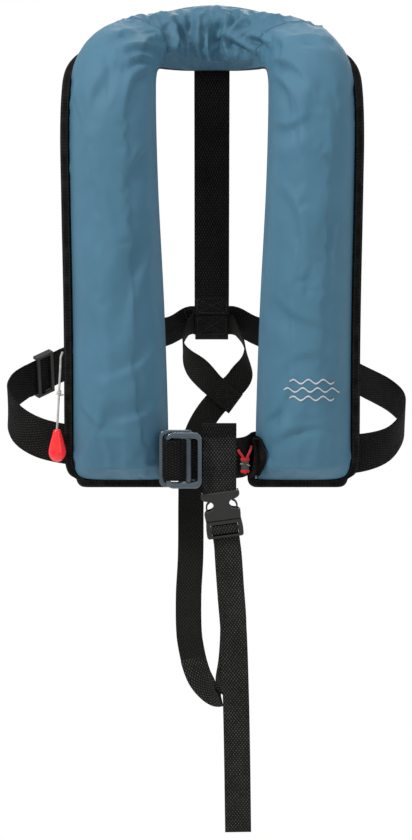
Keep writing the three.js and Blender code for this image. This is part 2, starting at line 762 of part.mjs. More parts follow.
// From the ring, behind the hanger, out behind the right lobe and round to the left edge of the loop.
const RIGHT_BELT = [
  [-15.5, -153.7, BELT_FRONT_Z],
  [-21, -153.8, BELT_FRONT_Z],
  [-25.6, -152.6, BELT_FRONT_Z],
  [-26, -150, BELT_FRONT_Z],
  [-25, -147, BELT_FRONT_Z],
  [-20, -146.4, BELT_FRONT_Z],
  [-8, -147, BELT_FRONT_Z],
  [10, -147, BELT_FRONT_Z],
  [27, -147, BELT_FRONT_Z],
  [34.5, -141, BELT_FRONT_Z],
  [40.5, -126, BELT_FRONT_Z],
  [44.6, -111, BELT_FRONT_Z],
  [49, -107, BELT_FRONT_Z],
  [60, -106.3, BELT_FRONT_Z],
  [110, -106.4, -418],
  [158, -106.4, -419],
  [194, -94, -412],
  [213, -68, -398],
  [218, -36, -383],
  [205, -4, -371],
  [172, 27, -357],
  [114, 58, -330],
  nearBack(51, -8.5, 8),
  nearBack(26, -1, -0.4),
  nearBack(15, 0, 0),
  nearBack(0, 0, 0),
  nearBack(-14.5, 0, 0),
];
const RIGHT_LEAN = [
  ...Array(15).fill(UP),
  [0, -0.1, 1],
  [0, -0.3, 0.95],
  [0, -0.34, 0.94],
  [0, -0.36, 0.93],
  [0, -0.42, 0.9],
  [0, -0.46, 0.89],
  [0, -0.5, 0.86],
  ...Array(5).fill(BACK_LEAN),
];

function buildBelt() {
  piece(jacket, "left_belt", strap(LEFT_BELT, LEFT_LEAN, BELT_WIDTH, BELT_THICK), materials.webbing());
  piece(jacket, "right_belt", strap(RIGHT_BELT, RIGHT_LEAN, BELT_WIDTH, BELT_THICK), materials.webbing());

  const tunnel = (x, z) => {
    const line = [
      [x, -109.2, z + 37],
      [x, -105.2, z + 33],
      [x, -104.2, z + 27],
      [x, -104.2, z - 27],
      [x, -105.2, z - 33],
      [x, -109.2, z - 37],
    ];
    return strap(line, line.map(() => [1, 0, 0]), 66, 0.9, 2);
  };
  piece(jacket, "left_belt_tunnel", tunnel(-112, -414), materials.lining());
  piece(jacket, "right_belt_tunnel", tunnel(112, -418), materials.lining());

  const backStrap = [
    [0, 31, 40],
    [0, 23.5, 22],
    [0, 12, 3],
    [0, 9, -12],
    [0, 14, -50],
    [0, 24, -130],
    [0, 33.5, -205],
    nearBack(0, 44, 8.6),
    nearBack(0, 31, 8.1),
    nearBack(0, 18, 8.1),
  ];
  piece(
    jacket,
    "back_strap",
    strap(backStrap, backStrap.map(() => [1, 0, 0]), BACK_STRAP_WIDTH, 1.8),
    materials.webbing(),
  );
  const loop = [
    nearBack(0, 15, 5.8),
    nearBack(0, -21, 5.8),
    nearBack(0, -26, 4),
    nearBack(0, -27.8, 0.8),
    nearBack(0, -26.5, -2.2),
    nearBack(0, -22, -3.2),
    nearBack(0, 24, -3.2),
    nearBack(0, 29, -3.2),
  ];
  piece(
    jacket,
    "back_loop",
    strap(loop, loop.map(() => [1, 0, 0]), BACK_STRAP_WIDTH - 1, 1.5, 2),
    materials.webbing(),
  );
}

// A three-bar slide on the left of the belt: rails and outer bars inside it, the middle bar outside.
function buildAdjuster() {
  const way = ADJUSTER_WAY.clone();
  const lean = vector([0, -0.36, 0.93]);
  lean.addScaledVector(way, -lean.dot(way)).normalize();
  const face = lean.clone().cross(way).normalize();
  const group = groupAt(ADJUSTER_AT);
  group.quaternion.setFromRotationMatrix(new THREE.Matrix4().makeBasis(way, face, lean));
  const half = BELT_WIDTH / 2;
  const rail = (s) => box(24, 7.2, 3.2, 0, 0, s * (half + 2.4));
  const bar = (x, y) => box(4.2, 2.2, BELT_WIDTH + 4, x, y, 0);
  const slide = join(rail(1), rail(-1), bar(-9.9, -2.5), bar(9.9, -2.5), bar(0, 2.5));
  piece(group, "side_adjuster", slide, materials.plastic());
}

buildBelt();
buildAdjuster();

// ---------------------------------------------------------------- the steel waist buckle

const FRAME_HEIGHT = 62.5;
const FRAME_WIDTH = 39.5;
const FRAME_THICK = 4.2;

function steelFrame(width, height, left, right, ends) {
  const shape = roundedRectangle(new THREE.Shape(), width, height, 8);
  const hole = new THREE.Path();
  const [w, h] = [width - left - right, height - 2 * ends];
  const centre = (left - right) / 2;
  const corner = 3.2;
  hole.moveTo(centre - w / 2 + corner, -h / 2);
  for (const [sx, sy, from] of [[1, -1, -0.5], [1, 1, 0], [-1, 1, 0.5], [-1, -1, 1]]) {
    const x = centre + sx * (w / 2 - corner);
    hole.absarc(x, sy * (h / 2 - corner), corner, from * Math.PI, (from + 0.5) * Math.PI);
  }
  shape.holes.push(hole);
  return plate(shape, FRAME_THICK, 1.3, 4);
}

function buildSteelBuckle() {
  piece(
    jacket,
    "slide_buckle",
    steelFrame(FRAME_WIDTH, FRAME_HEIGHT, 4.6, 5, 7),
    materials.steel(),
    [-30.8, -158.4, BELT_FRONT_Z - 0.6],
  );
  const ribs = 16;
  const barHalf = 23.8;
  const profile = [[0, -barHalf]];
  for (let i = 0; i <= ribs; i++) {
    profile.push([i % 2 ? 3.4 : 3.0, -barHalf + (2 * barHalf * i) / ribs]);
  }
  profile.push([0, barHalf]);
  piece(jacket, "knurled_bar", turned(profile, 12), materials.steel(), [-25.8, -158.4, BELT_FRONT_Z - 0.6]);
  piece(
    jacket,
    "buckle_ring",
    steelFrame(FRAME_WIDTH, FRAME_HEIGHT + 1.5, 5.6, 5.4, 6),
    materials.steel(),
    [-38.5, -150, BELT_FRONT_Z],
  );
}

buildSteelBuckle();

// ---------------------------------------------------------------- hanger, clip and crotch strap

const CLIP_AT = [8.7, -146, -457]; // the middle of the bar that the hanger holds
const CLIP_TILT = THREE.MathUtils.degToRad(7.8);
const CLIP_DEPTH = 13;
const CLIP_WALL = 1.8;
const CLIP_MOUTH = -28; // height of the socket's mouth below its bar
const CLIP_RIGHT = [Math.cos(CLIP_TILT), 0, Math.sin(CLIP_TILT)];

// A point of the tilted clip, measured from its bar.
const inClip = (x, y, z) => [
  CLIP_AT[0] + x * Math.cos(CLIP_TILT) - z * Math.sin(CLIP_TILT),
  CLIP_AT[1] + y,
  CLIP_AT[2] + x * Math.sin(CLIP_TILT) + z * Math.cos(CLIP_TILT),
];

function buildHanger() {
  const x = 8.3;
  const line = [
    [x, -149.7, -378.5],
    [x, -149.7, -392],
    [x, -149.7, -420],
    [x, -149.7, -443],
    inClip(0, -3.5, 2),
    inClip(0, -2.5, -2.6),
    inClip(0, 0, -3.8),
    inClip(0, 2.5, -2.6),
    inClip(0, 3.2, 2),
    [x, -143.9, -443],
    [x, -143.9, -420],
    [x, -143.9, -397],
    [x, -145.8, -390.6],
    [x, -147.7, -387],
    [x, -147.7, -379.5],
  ];
  const level = [1, 0, 0];
  const across = [
    ...Array(4).fill(level),
    ...Array(5).fill(CLIP_RIGHT),
    ...Array(6).fill(level),
  ];
  piece(jacket, "hanger_loop", strap(line, across, HANGER_WIDTH, 1.3, 2), materials.webbing());
}

// The clip's socket: two plates with a narrow waist, open at the mouth, and a bar for the hanger.
function buildClipSocket(group) {
  const outline = new THREE.Shape();
  outline.moveTo(-19.4, CLIP_MOUTH);
  outline.lineTo(19.4, CLIP_MOUTH);
  outline.lineTo(20, -19.5);
  outline.quadraticCurveTo(18.5, -16.4, 13, -15.8);
  outline.quadraticCurveTo(8.6, -15, 8.6, -11);
  outline.quadraticCurveTo(8.6, -6.6, 14, -5.6);
  outline.quadraticCurveTo(20.6, -4.6, 21.4, -0.6);
  outline.lineTo(20.4, 3.6);
  outline.lineTo(-20.4, 3.6);
  outline.lineTo(-21.4, -0.6);
  outline.quadraticCurveTo(-20.6, -4.6, -14, -5.6);
  outline.quadraticCurveTo(-8.6, -6.6, -8.6, -11);
  outline.quadraticCurveTo(-8.6, -15, -13, -15.8);
  outline.quadraticCurveTo(-18.5, -16.4, -20, -19.5);
  const cavity = CLIP_DEPTH - 2 * CLIP_WALL;
  const socket = join(
    cut(
      plate(outline, CLIP_DEPTH, 0.8, 4),
      box(36.8, cavity, 14, 0, 0, CLIP_MOUTH + 6),
      box(28, cavity, 24.5, 0, 0, -16.75), // room for the prongs to close
      box(37.6, CLIP_DEPTH, 11, 0, CLIP_WALL, 0.8),
    ),
    rod(2, -19.4, 19.4, 10).rotateY(Math.PI / 2),
  );
  piece(group, "clip_socket", socket, materials.plastic());
}

// The clip's plug: a ladder lock for the strap, with two prongs that the fingers squeeze.
function buildClipPlug(group) {
  const top = CLIP_MOUTH - GAP;
  const outline = new THREE.Shape();
  outline.moveTo(-19.2, top);
  outline.lineTo(19.2, top);
  outline.quadraticCurveTo(20.8, top - 9, 20.2, top - 16.6);
  outline.quadraticCurveTo(19.8, top - 19.4, 17.4, top - 19.4);
  outline.lineTo(-17.4, top - 19.4);
  outline.quadraticCurveTo(-19.8, top - 19.4, -20.2, top - 16.6);
  outline.quadraticCurveTo(-20.8, top - 9, -19.2, top);
  const base = cut(
    plate(outline, 12, 0.8, 4),
    box(30, 14, 4.6, 0, 0, top - 6.3), // upper slot
    box(30, 14, 4.6, 0, 0, top - 14.3), // lower slot
    box(30, 6, 5.6, 0, 4.2, top - 10.4), // the strap passes behind the ladder bar
    box(30, 7, 5, 0, 3.8, top - 18.6), // and behind the bottom bar
  );
  const tongue = box(8.6, 5, 15, 0, 0, top + 7);
  piece(group, "clip_base", join(base, tongue), materials.plastic());

  // A prong: a springy arm, bowed outwards where the fingers press it.
  for (const [name, side] of [["left_prong", -1], ["right_prong", 1]]) {
    const arm = [
      [13.6, top + 0.4],
      [15, top + 5],
      [16.4, top + 11],
      [16.8, top + 15.6],
      [15.4, top + 19.4],
      [12.4, top + 21.6],
    ].map(([x, z]) => [side * x, 0, z]);
    piece(group, name, strap(arm, arm.map(() => [0, 1, 0]), 6, 1.8, 2), materials.plastic());
  }
}

function buildClip() {
  const group = groupAt(CLIP_AT);
  group.rotation.y = -CLIP_TILT;
  buildClipSocket(group);
  buildClipPlug(group);
}

// The crotch strap's back part: sewn to itself in a loop over the belt, crossed in front, then hanging.
const CROTCH_BACK = [
  [28, 33.2, -386.5],
  [11, 32.6, -372.5],
  [-1, 34, -362],
  [-12, 40, -351],
  [-27, 51, -336],
  [-33.5, 60, -319],
  [-29, 67.4, -306.5],
  nearBack(-19.5, 0, 3.3),
  nearBack(0, 0, 3.3),
  nearBack(20, 0, 3.3),
  [30, 67.4, -306.5],
  [38, 60, -320],
  [40, 50.5, -339],
  [31.5, 42.5, -359],
  [14, 35, -376],
  [-4, 23, -395],
  [-17, 4, -416],
  [-23, -20, -440],
  [-23.8, -50, -480],
  [-24.2, -73, -544],
  [-26.4, -88, -587],
  [-25.4, -100, -630],
  [-21, -106, -654],
];
const CROTCH_BACK_LEAN = [
  [0.66, 0.46, 0.75],
  [0.66, 0.46, 0.75],
  [0.66, 0.46, 0.75],
  [0.6, 0.2, 0.78],
  [0.3, -0.55, 0.75],
  [0, -0.95, 0.3],
  [0, -0.85, 0.55],
  BACK_LEAN,
  BACK_LEAN,
  BACK_LEAN,
  [0, -0.85, 0.55],
  [0, -0.95, 0.3],
  [-0.3, -0.6, 0.7],
  [-0.66, 0, 0.72],
  [-0.7, 0, 0.7],
  [-0.75, 0.1, 0.6],
  [-0.9, 0.1, 0.3],
  [-1, 0, 0.1],
  [-1, 0, 0],
  [-1, 0, 0],
  [-1, 0, 0.02],
  [-0.99, 0, -0.12],
  [-0.95, 0, -0.3],
];

// Its front part: the turn at the bottom, up to the ladder lock, over its bar and down to the free end.
const CROTCH_FRONT = [
  [-20.2, -107.4, -657.6],
  [-13, -113, -676],
  [0, -124, -689],
  [12, -137, -684],
  [19.5, -143.5, -660],
  [23.6, -145, -610],
  [20.6, -142.8, -560],
  [17.8, -141.2, -522],
  inClip(0, 5.4, -47),
  inClip(0, 4.8, -38.6),
  inClip(0, 2.6, -34.9),
  inClip(0, -2, -34.3),
  inClip(0, -6.3, -34.9),
  inClip(0, -7.7, -38.6),
  inClip(0, -6.3, -42.2),
  inClip(0, -1.4, -42.7),
  inClip(0, 2.2, -45.6),
  inClip(0.4, 2, -52),
  [18.4, -146.6, -540],
  [21, -150, -575],
  [23.8, -151, -610],
  [26.4, -151, -680],
  [28, -151, -750],
  [29.4, -151, -843],
];
const CROTCH_FRONT_LEAN = [
  [-0.95, 0, -0.3],
  [-0.83, 0.1, -0.55],
  [-0.42, 0.3, -0.85],
  [-0.62, 0.62, -0.45],
  [-0.97, 0.15, 0],
  [-1, 0, 0],
  [-1, 0, 0],
  [-1, 0, 0],
  ...Array(10).fill(CLIP_RIGHT.map((c) => -c)),
  ...Array(6).fill([-1, 0, 0]),
];

function buildCrotchStrap() {
  piece(
    jacket,
    "crotch_strap_back",
    strap(CROTCH_BACK, CROTCH_BACK_LEAN, CROTCH_WIDTH, CROTCH_THICK),
    materials.webbing(),
  );
  piece(
    jacket,
    "crotch_strap_front",
    strap(CROTCH_FRONT, CROTCH_FRONT_LEAN, CROTCH_WIDTH, CROTCH_THICK),
    materials.webbing(),
  );
}

buildHanger();
buildClip();
buildCrotchStrap();

// ---------------------------------------------------------------- the soft loop on the belt

const SOFT_LOOP_AT = [36, -143, -406]; // its two ends hang from this line
function buildSoftLoop() {
  const group = groupAt(SOFT_LOOP_AT);
  const strand = 1.5;
  const line = [
    [-7.4, -6.6, 0],
    [-5.8, -7.4, -3.4],
    [-2.8, -6.9, -7.4],
    [-strand, -6.6, -12],
    [-strand, -6.6, -22],
    [0, -6.6, -26.4],
    [strand, -6.6, -22],
    [strand, -6.6, -12],
    [3, -5.6, -7.4],
    [5.6, 1, -3.4],
    [7.2, 13, 0],
  ];
  piece(group, "soft_loop_cord", cord(line, 2.8, 30), materials.redCord());
  const sleeve = new THREE.Shape().absellipse(0, 0, 4.2, 3, 0, 2 * Math.PI);
  sleeve.holes.push(new THREE.Path().absellipse(0, 0, 3.5, 2.1, 0, 2 * Math.PI, true));
  const tube = new THREE.ExtrudeGeometry(sleeve, { depth: 12.5, bevelEnabled: false, curveSegments: 8 });
  piece(group, "soft_loop_sleeve", closed(tube), materials.plastic(), [0, -6.6, -23.6]);
  const whipping = Array.from({ length: 17 }, (_, i) => {
    const a = (i / 16) * 1.72 * Math.PI + 0.64 * Math.PI;
    return [5.1 * Math.cos(a), -6.6 - 3.9 * Math.sin(a), -17 + 1.6 * Math.cos(a - 2.2)];
  });
  piece(group, "soft_loop_thread", cord(whipping, 0.8, 18, 5), materials.cord());
}

buildSoftLoop();

export default jacket;
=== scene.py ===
"""Visual model of a horseshoe life jacket with its harness belt, steel buckle and crotch strap.

Every length in the tables is in millimetres and every Blender object is in metres, in the frame of
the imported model: +X to the right of someone facing the jacket, -Y towards that person, +Z up.
"""
import math

import bpy
import numpy as np
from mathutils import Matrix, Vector, noise


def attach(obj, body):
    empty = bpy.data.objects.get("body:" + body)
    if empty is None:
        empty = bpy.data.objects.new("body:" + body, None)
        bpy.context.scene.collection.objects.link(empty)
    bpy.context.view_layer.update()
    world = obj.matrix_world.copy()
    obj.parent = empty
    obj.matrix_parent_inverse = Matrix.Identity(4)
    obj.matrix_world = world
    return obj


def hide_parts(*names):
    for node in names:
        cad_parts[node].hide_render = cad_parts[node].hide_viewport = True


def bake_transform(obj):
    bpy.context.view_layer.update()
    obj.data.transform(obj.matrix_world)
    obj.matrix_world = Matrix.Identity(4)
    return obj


bl_info = {
    "name": "Inflatable life jacket",
    "version": (1, 0, 0),
    "blender": (4, 5, 0),
    "location": "3D View > Sidebar > Life jacket",
    "description": "Builds a packed horseshoe life jacket with belt, buckle and crotch strap",
    "category": "Add Mesh",
}

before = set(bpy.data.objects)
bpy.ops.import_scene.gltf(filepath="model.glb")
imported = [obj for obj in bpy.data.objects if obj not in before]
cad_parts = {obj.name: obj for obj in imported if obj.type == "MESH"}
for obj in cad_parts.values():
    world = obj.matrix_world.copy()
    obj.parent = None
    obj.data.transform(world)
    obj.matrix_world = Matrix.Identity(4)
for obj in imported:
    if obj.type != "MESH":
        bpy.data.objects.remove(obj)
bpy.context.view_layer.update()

MM = 0.001
BODY = "jacket"

# ---------------------------------------------------------------- the horseshoe, in millimetres

BACK_Y = -112.0  # the plane where the lobes' covers meet their back panels
PANEL = 1.5  # thickness of a back panel
PANEL_GAP = 0.6  # between a cover's edge and its back panel
BINDING_WIDTH = 9.0

# From the bottom of the right lobe to the middle of the collar: inner edge, outer edge and crown.
SECTIONS = [
    ((49, BACK_Y, -446), (141, BACK_Y, -446), 7),
    ((48.8, BACK_Y, -440), (149, BACK_Y, -441), 21),
    ((48.5, BACK_Y, -426), (153.5, BACK_Y, -428), 38),
    ((48.5, BACK_Y, -389), (154, BACK_Y, -389), 50),
    ((50.5, BACK_Y, -310), (153.6, BACK_Y, -310), 54),
    ((53, BACK_Y, -242), (153.8, BACK_Y, -242), 54),
    ((58.5, BACK_Y, -128), (155, BACK_Y, -128), 52),
    ((60.5, -110, -60), (155.4, -110, -60), 50),
    ((61, -104, -20), (154, -104, -22), 48),
    ((61, -94, -7), (151.8, -89, -2), 46),
    ((60.2, -82, 1), (145, -68, 11), 44),
    ((59, -67, 4.5), (131, -43, 20.6), 42),
    ((56.5, -50, 5), (110, -20, 31), 40),
    ((48, -31, 3), (81, 0, 42.6), 38),
    ((28, -12, 0.5), (45, 15, 58), 36),
    ((0, 0, 0), (0, 22, 68), 35),
]
MIDDLE = len(SECTIONS) - 1
LAST = 2 * MIDDLE
SEAM = 12.4  # the section where a lobe's cover meets the collar's
LAP = 0.012  # how far short of the seam a back panel stops, in sections

BELT_Z = -416.0
CLIP_AT = (8.7, -146.0, -457.0)
CLIP_TILT = math.radians(7.8)
BACK_LEAN = (0.0, -0.574, 0.819)
UP = (0.0, 0.0, 1.0)


def near_back(x, a, b):
    """A point near the middle of the back: a along the belt's width, b towards the wearer."""
    return (x, 75 + a * BACK_LEAN[1] - b * BACK_LEAN[2], -294 + a * BACK_LEAN[2] + b * BACK_LEAN[1])


def in_clip(x, y, z):
    """A point of the tilted clip, measured from the bar that the hanger holds."""
    c, s = math.cos(CLIP_TILT), math.sin(CLIP_TILT)
    return (CLIP_AT[0] + x * c - z * s, CLIP_AT[1] + y, CLIP_AT[2] + x * s + z * c)


CLIP_RIGHT = (math.cos(CLIP_TILT), 0.0, math.sin(CLIP_TILT))
CLIP_LEFT = (-math.cos(CLIP_TILT), 0.0, -math.sin(CLIP_TILT))
ADJUSTER_AT = np.array((-193.5, 11.5, -347.4))
ADJUSTER_WAY = np.array((19.0, 17.0, 6.9)) / math.sqrt(19.0**2 + 17.0**2 + 6.9**2)


def near_adjuster(d):
    return tuple(ADJUSTER_AT + d * ADJUSTER_WAY)


LEFT_BELT = [
    (-46.5, -154.2, BELT_Z), (-50.6, -154.4, BELT_Z), (-52.7, -158.4, BELT_Z),
    (-50.6, -162.2, BELT_Z), (-45, -162.7, BELT_Z), (-37.5, -162.5, BELT_Z),
    (-33.8, -159, BELT_Z), (-33.4, -150, BELT_Z), (-34, -138, BELT_Z),
    (-38, -121, BELT_Z), (-44.6, -111, BELT_Z), (-49, -107, BELT_Z),
    (-60, -106.3, BELT_Z), (-110, -106.4, -414), (-156, -106.4, -409),
    (-192, -100, -402), (-217, -80, -391), (-230, -50, -374.5), (-226, -24, -362.5),
    near_adjuster(-27), near_adjuster(-18), near_adjuster(-9),
    near_adjuster(9), near_adjuster(18), near_adjuster(27),
    (-150, 43.4, -333.6), (-114, 60, -322),
    near_back(-50, -9, 8), near_back(-26, -1, -0.4), near_back(-17.5, 0, 0),
]
LEFT_LEAN = (
    [UP] * 15
    + [(0.05, 0, 1), (0.06, -0.04, 1), (0, -0.12, 0.99), (0, -0.25, 0.97)]
    + [(0, -0.36, 0.93)] * 7
    + [(0, -0.46, 0.89)]
    + [BACK_LEAN] * 3
)
RIGHT_BELT = [
    (-15.5, -153.7, BELT_Z), (-21, -153.8, BELT_Z), (-25.6, -152.6, BELT_Z),
    (-26, -150, BELT_Z), (-25, -147, BELT_Z), (-20, -146.4, BELT_Z),
    (-8, -147, BELT_Z), (10, -147, BELT_Z), (27, -147, BELT_Z), (34.5, -141, BELT_Z),
    (40.5, -126, BELT_Z), (44.6, -111, BELT_Z), (49, -107, BELT_Z), (60, -106.3, BELT_Z),
    (110, -106.4, -418), (158, -106.4, -419), (194, -94, -412), (213, -68, -398),
    (218, -36, -383), (205, -4, -371), (172, 27, -357), (114, 58, -330),
    near_back(51, -8.5, 8), near_back(26, -1, -0.4), near_back(15, 0, 0),
    near_back(0, 0, 0), near_back(-14.5, 0, 0),
]
RIGHT_LEAN = (
    [UP] * 15
    + [(0, -0.1, 1), (0, -0.3, 0.95), (0, -0.34, 0.94), (0, -0.36, 0.93)]
    + [(0, -0.42, 0.9), (0, -0.46, 0.89), (0, -0.5, 0.86)]
    + [BACK_LEAN] * 5
)
BACK_STRAP = [
    (0, 31, 40), (0, 23.5, 22), (0, 12, 3), (0, 9, -12), (0, 14, -50), (0, 24, -130),
    (0, 33.5, -205), near_back(0, 44, 8.6), near_back(0, 31, 8.1), near_back(0, 18, 8.1),
]
BACK_LOOP = [
    near_back(0, 15, 5.8), near_back(0, -21, 5.8), near_back(0, -26, 4), near_back(0, -27.8, 0.8),
    near_back(0, -26.5, -2.2), near_back(0, -22, -3.2), near_back(0, 24, -3.2),
    near_back(0, 29, -3.2),
]
HANGER_X = 8.3
HANGER = [
    (HANGER_X, -149.7, -378.5), (HANGER_X, -149.7, -392), (HANGER_X, -149.7, -420),
    (HANGER_X, -149.7, -443), in_clip(0, -3.5, 2), in_clip(0, -2.5, -2.6), in_clip(0, 0, -3.8),
    in_clip(0, 2.5, -2.6), in_clip(0, 3.2, 2), (HANGER_X, -143.9, -443), (HANGER_X, -143.9, -420),
    (HANGER_X, -143.9, -397), (HANGER_X, -145.8, -390.6), (HANGER_X, -147.7, -387),
    (HANGER_X, -147.7, -379.5),
]
HANGER_LEAN = [(1, 0, 0)] * 4 + [CLIP_RIGHT] * 5 + [(1, 0, 0)] * 6
CROTCH_BACK = [
    (28, 33.2, -386.5), (11, 32.6, -372.5), (-1, 34, -362), (-12, 40, -351), (-27, 51, -336),
    (-33.5, 60, -319),
    (-29, 67.4, -306.5), near_back(-19.5, 0, 3.3), near_back(0, 0, 3.3), near_back(20, 0, 3.3),
    (30, 67.4, -306.5), (38, 60, -320), (40, 50.5, -339), (31.5, 42.5, -359), (14, 35, -376),
    (-4, 23, -395), (-17, 4, -416), (-23, -20, -440), (-23.8, -50, -480), (-24.2, -73, -544),
    (-26.4, -88, -587), (-25.4, -100, -630), (-21, -106, -654),
]
CROTCH_BACK_LEAN = [
    (0.66, 0.46, 0.75), (0.66, 0.46, 0.75), (0.66, 0.46, 0.75), (0.6, 0.2, 0.78),
    (0.3, -0.55, 0.75), (0, -0.95, 0.3),
    (0, -0.85, 0.55), BACK_LEAN, BACK_LEAN, BACK_LEAN, (0, -0.85, 0.55), (0, -0.95, 0.3),
    (-0.3, -0.6, 0.7), (-0.66, 0, 0.72), (-0.7, 0, 0.7), (-0.75, 0.1, 0.6), (-0.9, 0.1, 0.3),
    (-1, 0, 0.1), (-1, 0, 0), (-1, 0, 0), (-1, 0, 0.02), (-0.99, 0, -0.12), (-0.95, 0, -0.3),
]
CROTCH_FRONT = [
    (-20.2, -107.4, -657.6), (-13, -113, -676), (0, -124, -689), (12, -137, -684),
    (19.5, -143.5, -660), (23.6, -145, -610), (20.6, -142.8, -560), (17.8, -141.2, -522),
    in_clip(0, 5.4, -47), in_clip(0, 4.8, -38.6), in_clip(0, 2.6, -34.9), in_clip(0, -2, -34.3),
    in_clip(0, -6.3, -34.9), in_clip(0, -7.7, -38.6), in_clip(0, -6.3, -42.2),
    in_clip(0, -1.4, -42.7), in_clip(0, 2.2, -45.6), in_clip(0.4, 2, -52),
    (18.4, -146.6, -540), (21, -150, -575), (23.8, -151, -610), (26.4, -151, -680),
    (28, -151, -750), (29.4, -151, -843),
]
CROTCH_FRONT_LEAN = (
    [(-0.95, 0, -0.3), (-0.83, 0.1, -0.55), (-0.42, 0.3, -0.85), (-0.62, 0.62, -0.45)]
    + [(-0.97, 0.15, 0), (-1, 0, 0), (-1, 0, 0), (-1, 0, 0)]
    + [CLIP_LEFT] * 10
    + [(-1, 0, 0)] * 6
)

# The free cord, in metres, from the notch in the back panel to the handle.
CORD_DIAMETER = 0.0024
PULL_CORD = [
    (-0.1646, -0.1103, -0.304), (-0.1665, -0.1122, -0.309), (-0.1669, -0.1137, -0.3145),
    (-0.1671, -0.1151, -0.3201), (-0.1674, -0.1164, -0.3257), (-0.1677, -0.1176, -0.3312),
    (-0.168, -0.1187, -0.3369), (-0.1683, -0.1197, -0.3425), (-0.1686, -0.1206, -0.3482),
    (-0.1689, -0.1214, -0.3538), (-0.1692, -0.1222, -0.3595), (-0.1695, -0.1228, -0.3652),
    (-0.1699, -0.1234, -0.3709), (-0.1702, -0.1238, -0.3766), (-0.1706, -0.124, -0.3823),
    (-0.171, -0.124, -0.388),
]
KNOT_POINT = 8
HANDLE_TOP = (-171.0, -124.0, -388.3)

INNER_CORD = [
    (-134.9, -138.7, -297.5), (-133.4, -134, -299), (-129.8, -124, -301.5),
    (-130.4, -113.8, -303.4), (-136, -110.3, -304), (-150, -110.3, -304), (-163.4, -110.3, -304),
]
LANYARD = [
    (80, -142.4, -244.4), (80, -149.4, -240.6), (85, -147.4, -228), (94, -145, -224),
    (102, -140, -228), (102.6, -137, -242),
]
SOFT_LOOP = [
    (28.6, -149.6, -406), (30.2, -150.4, -409.4), (33.2, -149.9, -413.4), (34.5, -149.6, -418),
    (34.5, -149.6, -428), (36, -149.6, -432.4), (37.5, -149.6, -428), (37.5, -149.6, -418),
    (39, -148.6, -413.4), (41.6, -142, -409.4), (43.2, -130, -406),
]

# Folds of the covers as seen from the front, in millimetres: the line's points, depth and width.
# A fold is steep on the left of its line's run and soft on the right.
FOLDS = [
    # collar
    ([(-40, 62), (-31, 30), (-32, 8)], 9.3, 7.4),
    ([(-22, 60), (-24, 34), (-19, 8)], 11, 8.3),
    ([(-9, 36), (-12, 20), (-5, 6)], 6.8, 5.5),
    ([(12, 58), (6, 34), (10, 16), (20, 2)], 11, 8.3),
    ([(22, 66), (26, 54), (12, 38)], 8.5, 6.4),
    ([(30, 56), (40, 46), (30, 36)], 6.1, 5.5),
    ([(12, 30), (32, 18), (52, 4)], 8.5, 7.4),
    ([(36, 30), (52, 22), (62, 10)], 5.8, 6.4),
    ([(-52, 48), (-46, 30), (-54, 14)], 5.1, 7.4),
    # left lobe
    ([(-98, 2), (-76, 8), (-58, 10)], 4.4, 7.4),
    ([(-92, -16), (-74, -6), (-58, -12)], 5.4, 6.4),
    ([(-88, -60), (-80, -30), (-64, -18)], 4.1, 8.3),
    ([(-118, 10), (-96, 22), (-70, 30)], 3.1, 9.2),
    ([(-130, -70), (-112, -30), (-96, -12)], 2.7, 12),
    ([(-92, -150), (-74, -112), (-60, -96)], 3.1, 10.1),
    ([(-60, -190), (-82, -230), (-100, -300)], 2.7, 12),
    ([(-140, -120), (-120, -170), (-112, -220)], 2.2, 12.9),
    ([(-62, -300), (-84, -330), (-120, -346)], 2.5, 11),
    ([(-140, -260), (-124, -300), (-120, -350)], 2.2, 12),
    ([(-62, -368), (-84, -386), (-112, -392)], 2.7, 10.1),
    ([(-150, -380), (-132, -400), (-118, -440)], 2, 10.1),
    # right lobe
    ([(62, -8), (82, -16), (100, -34)], 5.1, 7.4),
    ([(62, -26), (76, -40), (82, -70)], 4.8, 8.3),
    ([(66, 6), (92, 16), (124, 14)], 3.1, 8.3),
    ([(60, -78), (80, -84), (108, -72)], 3.1, 10.1),
    ([(104, -10), (126, -40), (138, -90)], 2.5, 12),
    ([(62, -140), (84, -170), (94, -226)], 2.7, 12),
    ([(150, -150), (128, -186), (120, -250)], 2.2, 12),
    ([(60, -262), (86, -286), (124, -300)], 2.5, 12),
    ([(62, -398), (76, -384), (88, -352)], 3.4, 8.3),
    ([(66, -424), (92, -408), (128, -404)], 3.1, 9.2),
    ([(152, -330), (132, -366), (124, -420)], 2.2, 11),
    ([(72, -350), (96, -330), (136, -332)], 2, 12),
]

# The facing of the belt's way out: section, its lip's x and y, how far it reaches over the lobe.
FACING = [
    (0.85, 41, -131.5, 0.04), (1.45, 43.5, -133, 0.07), (1.95, 45.5, -134, 0.1),
    (2.35, 46.8, -134, 0.118), (2.55, 46.5, -134, 0.105), (2.7, 45.5, -133.5, 0.075),
    (2.87, 44, -133, 0.045),
]

# How much higher the collar's outer side stands than the sections say: section, millimetres.
COLLAR_LIFT = [(0, 0.0), (10.2, 0.0), (11.4, 3.0), (12.6, 8.0), (13.8, 6.5), (15, 3.0)]


# ---------------------------------------------------------------- curves and frames


def unit(v):
    return v / np.maximum(np.linalg.norm(v, axis=-1, keepdims=True), 1e-12)


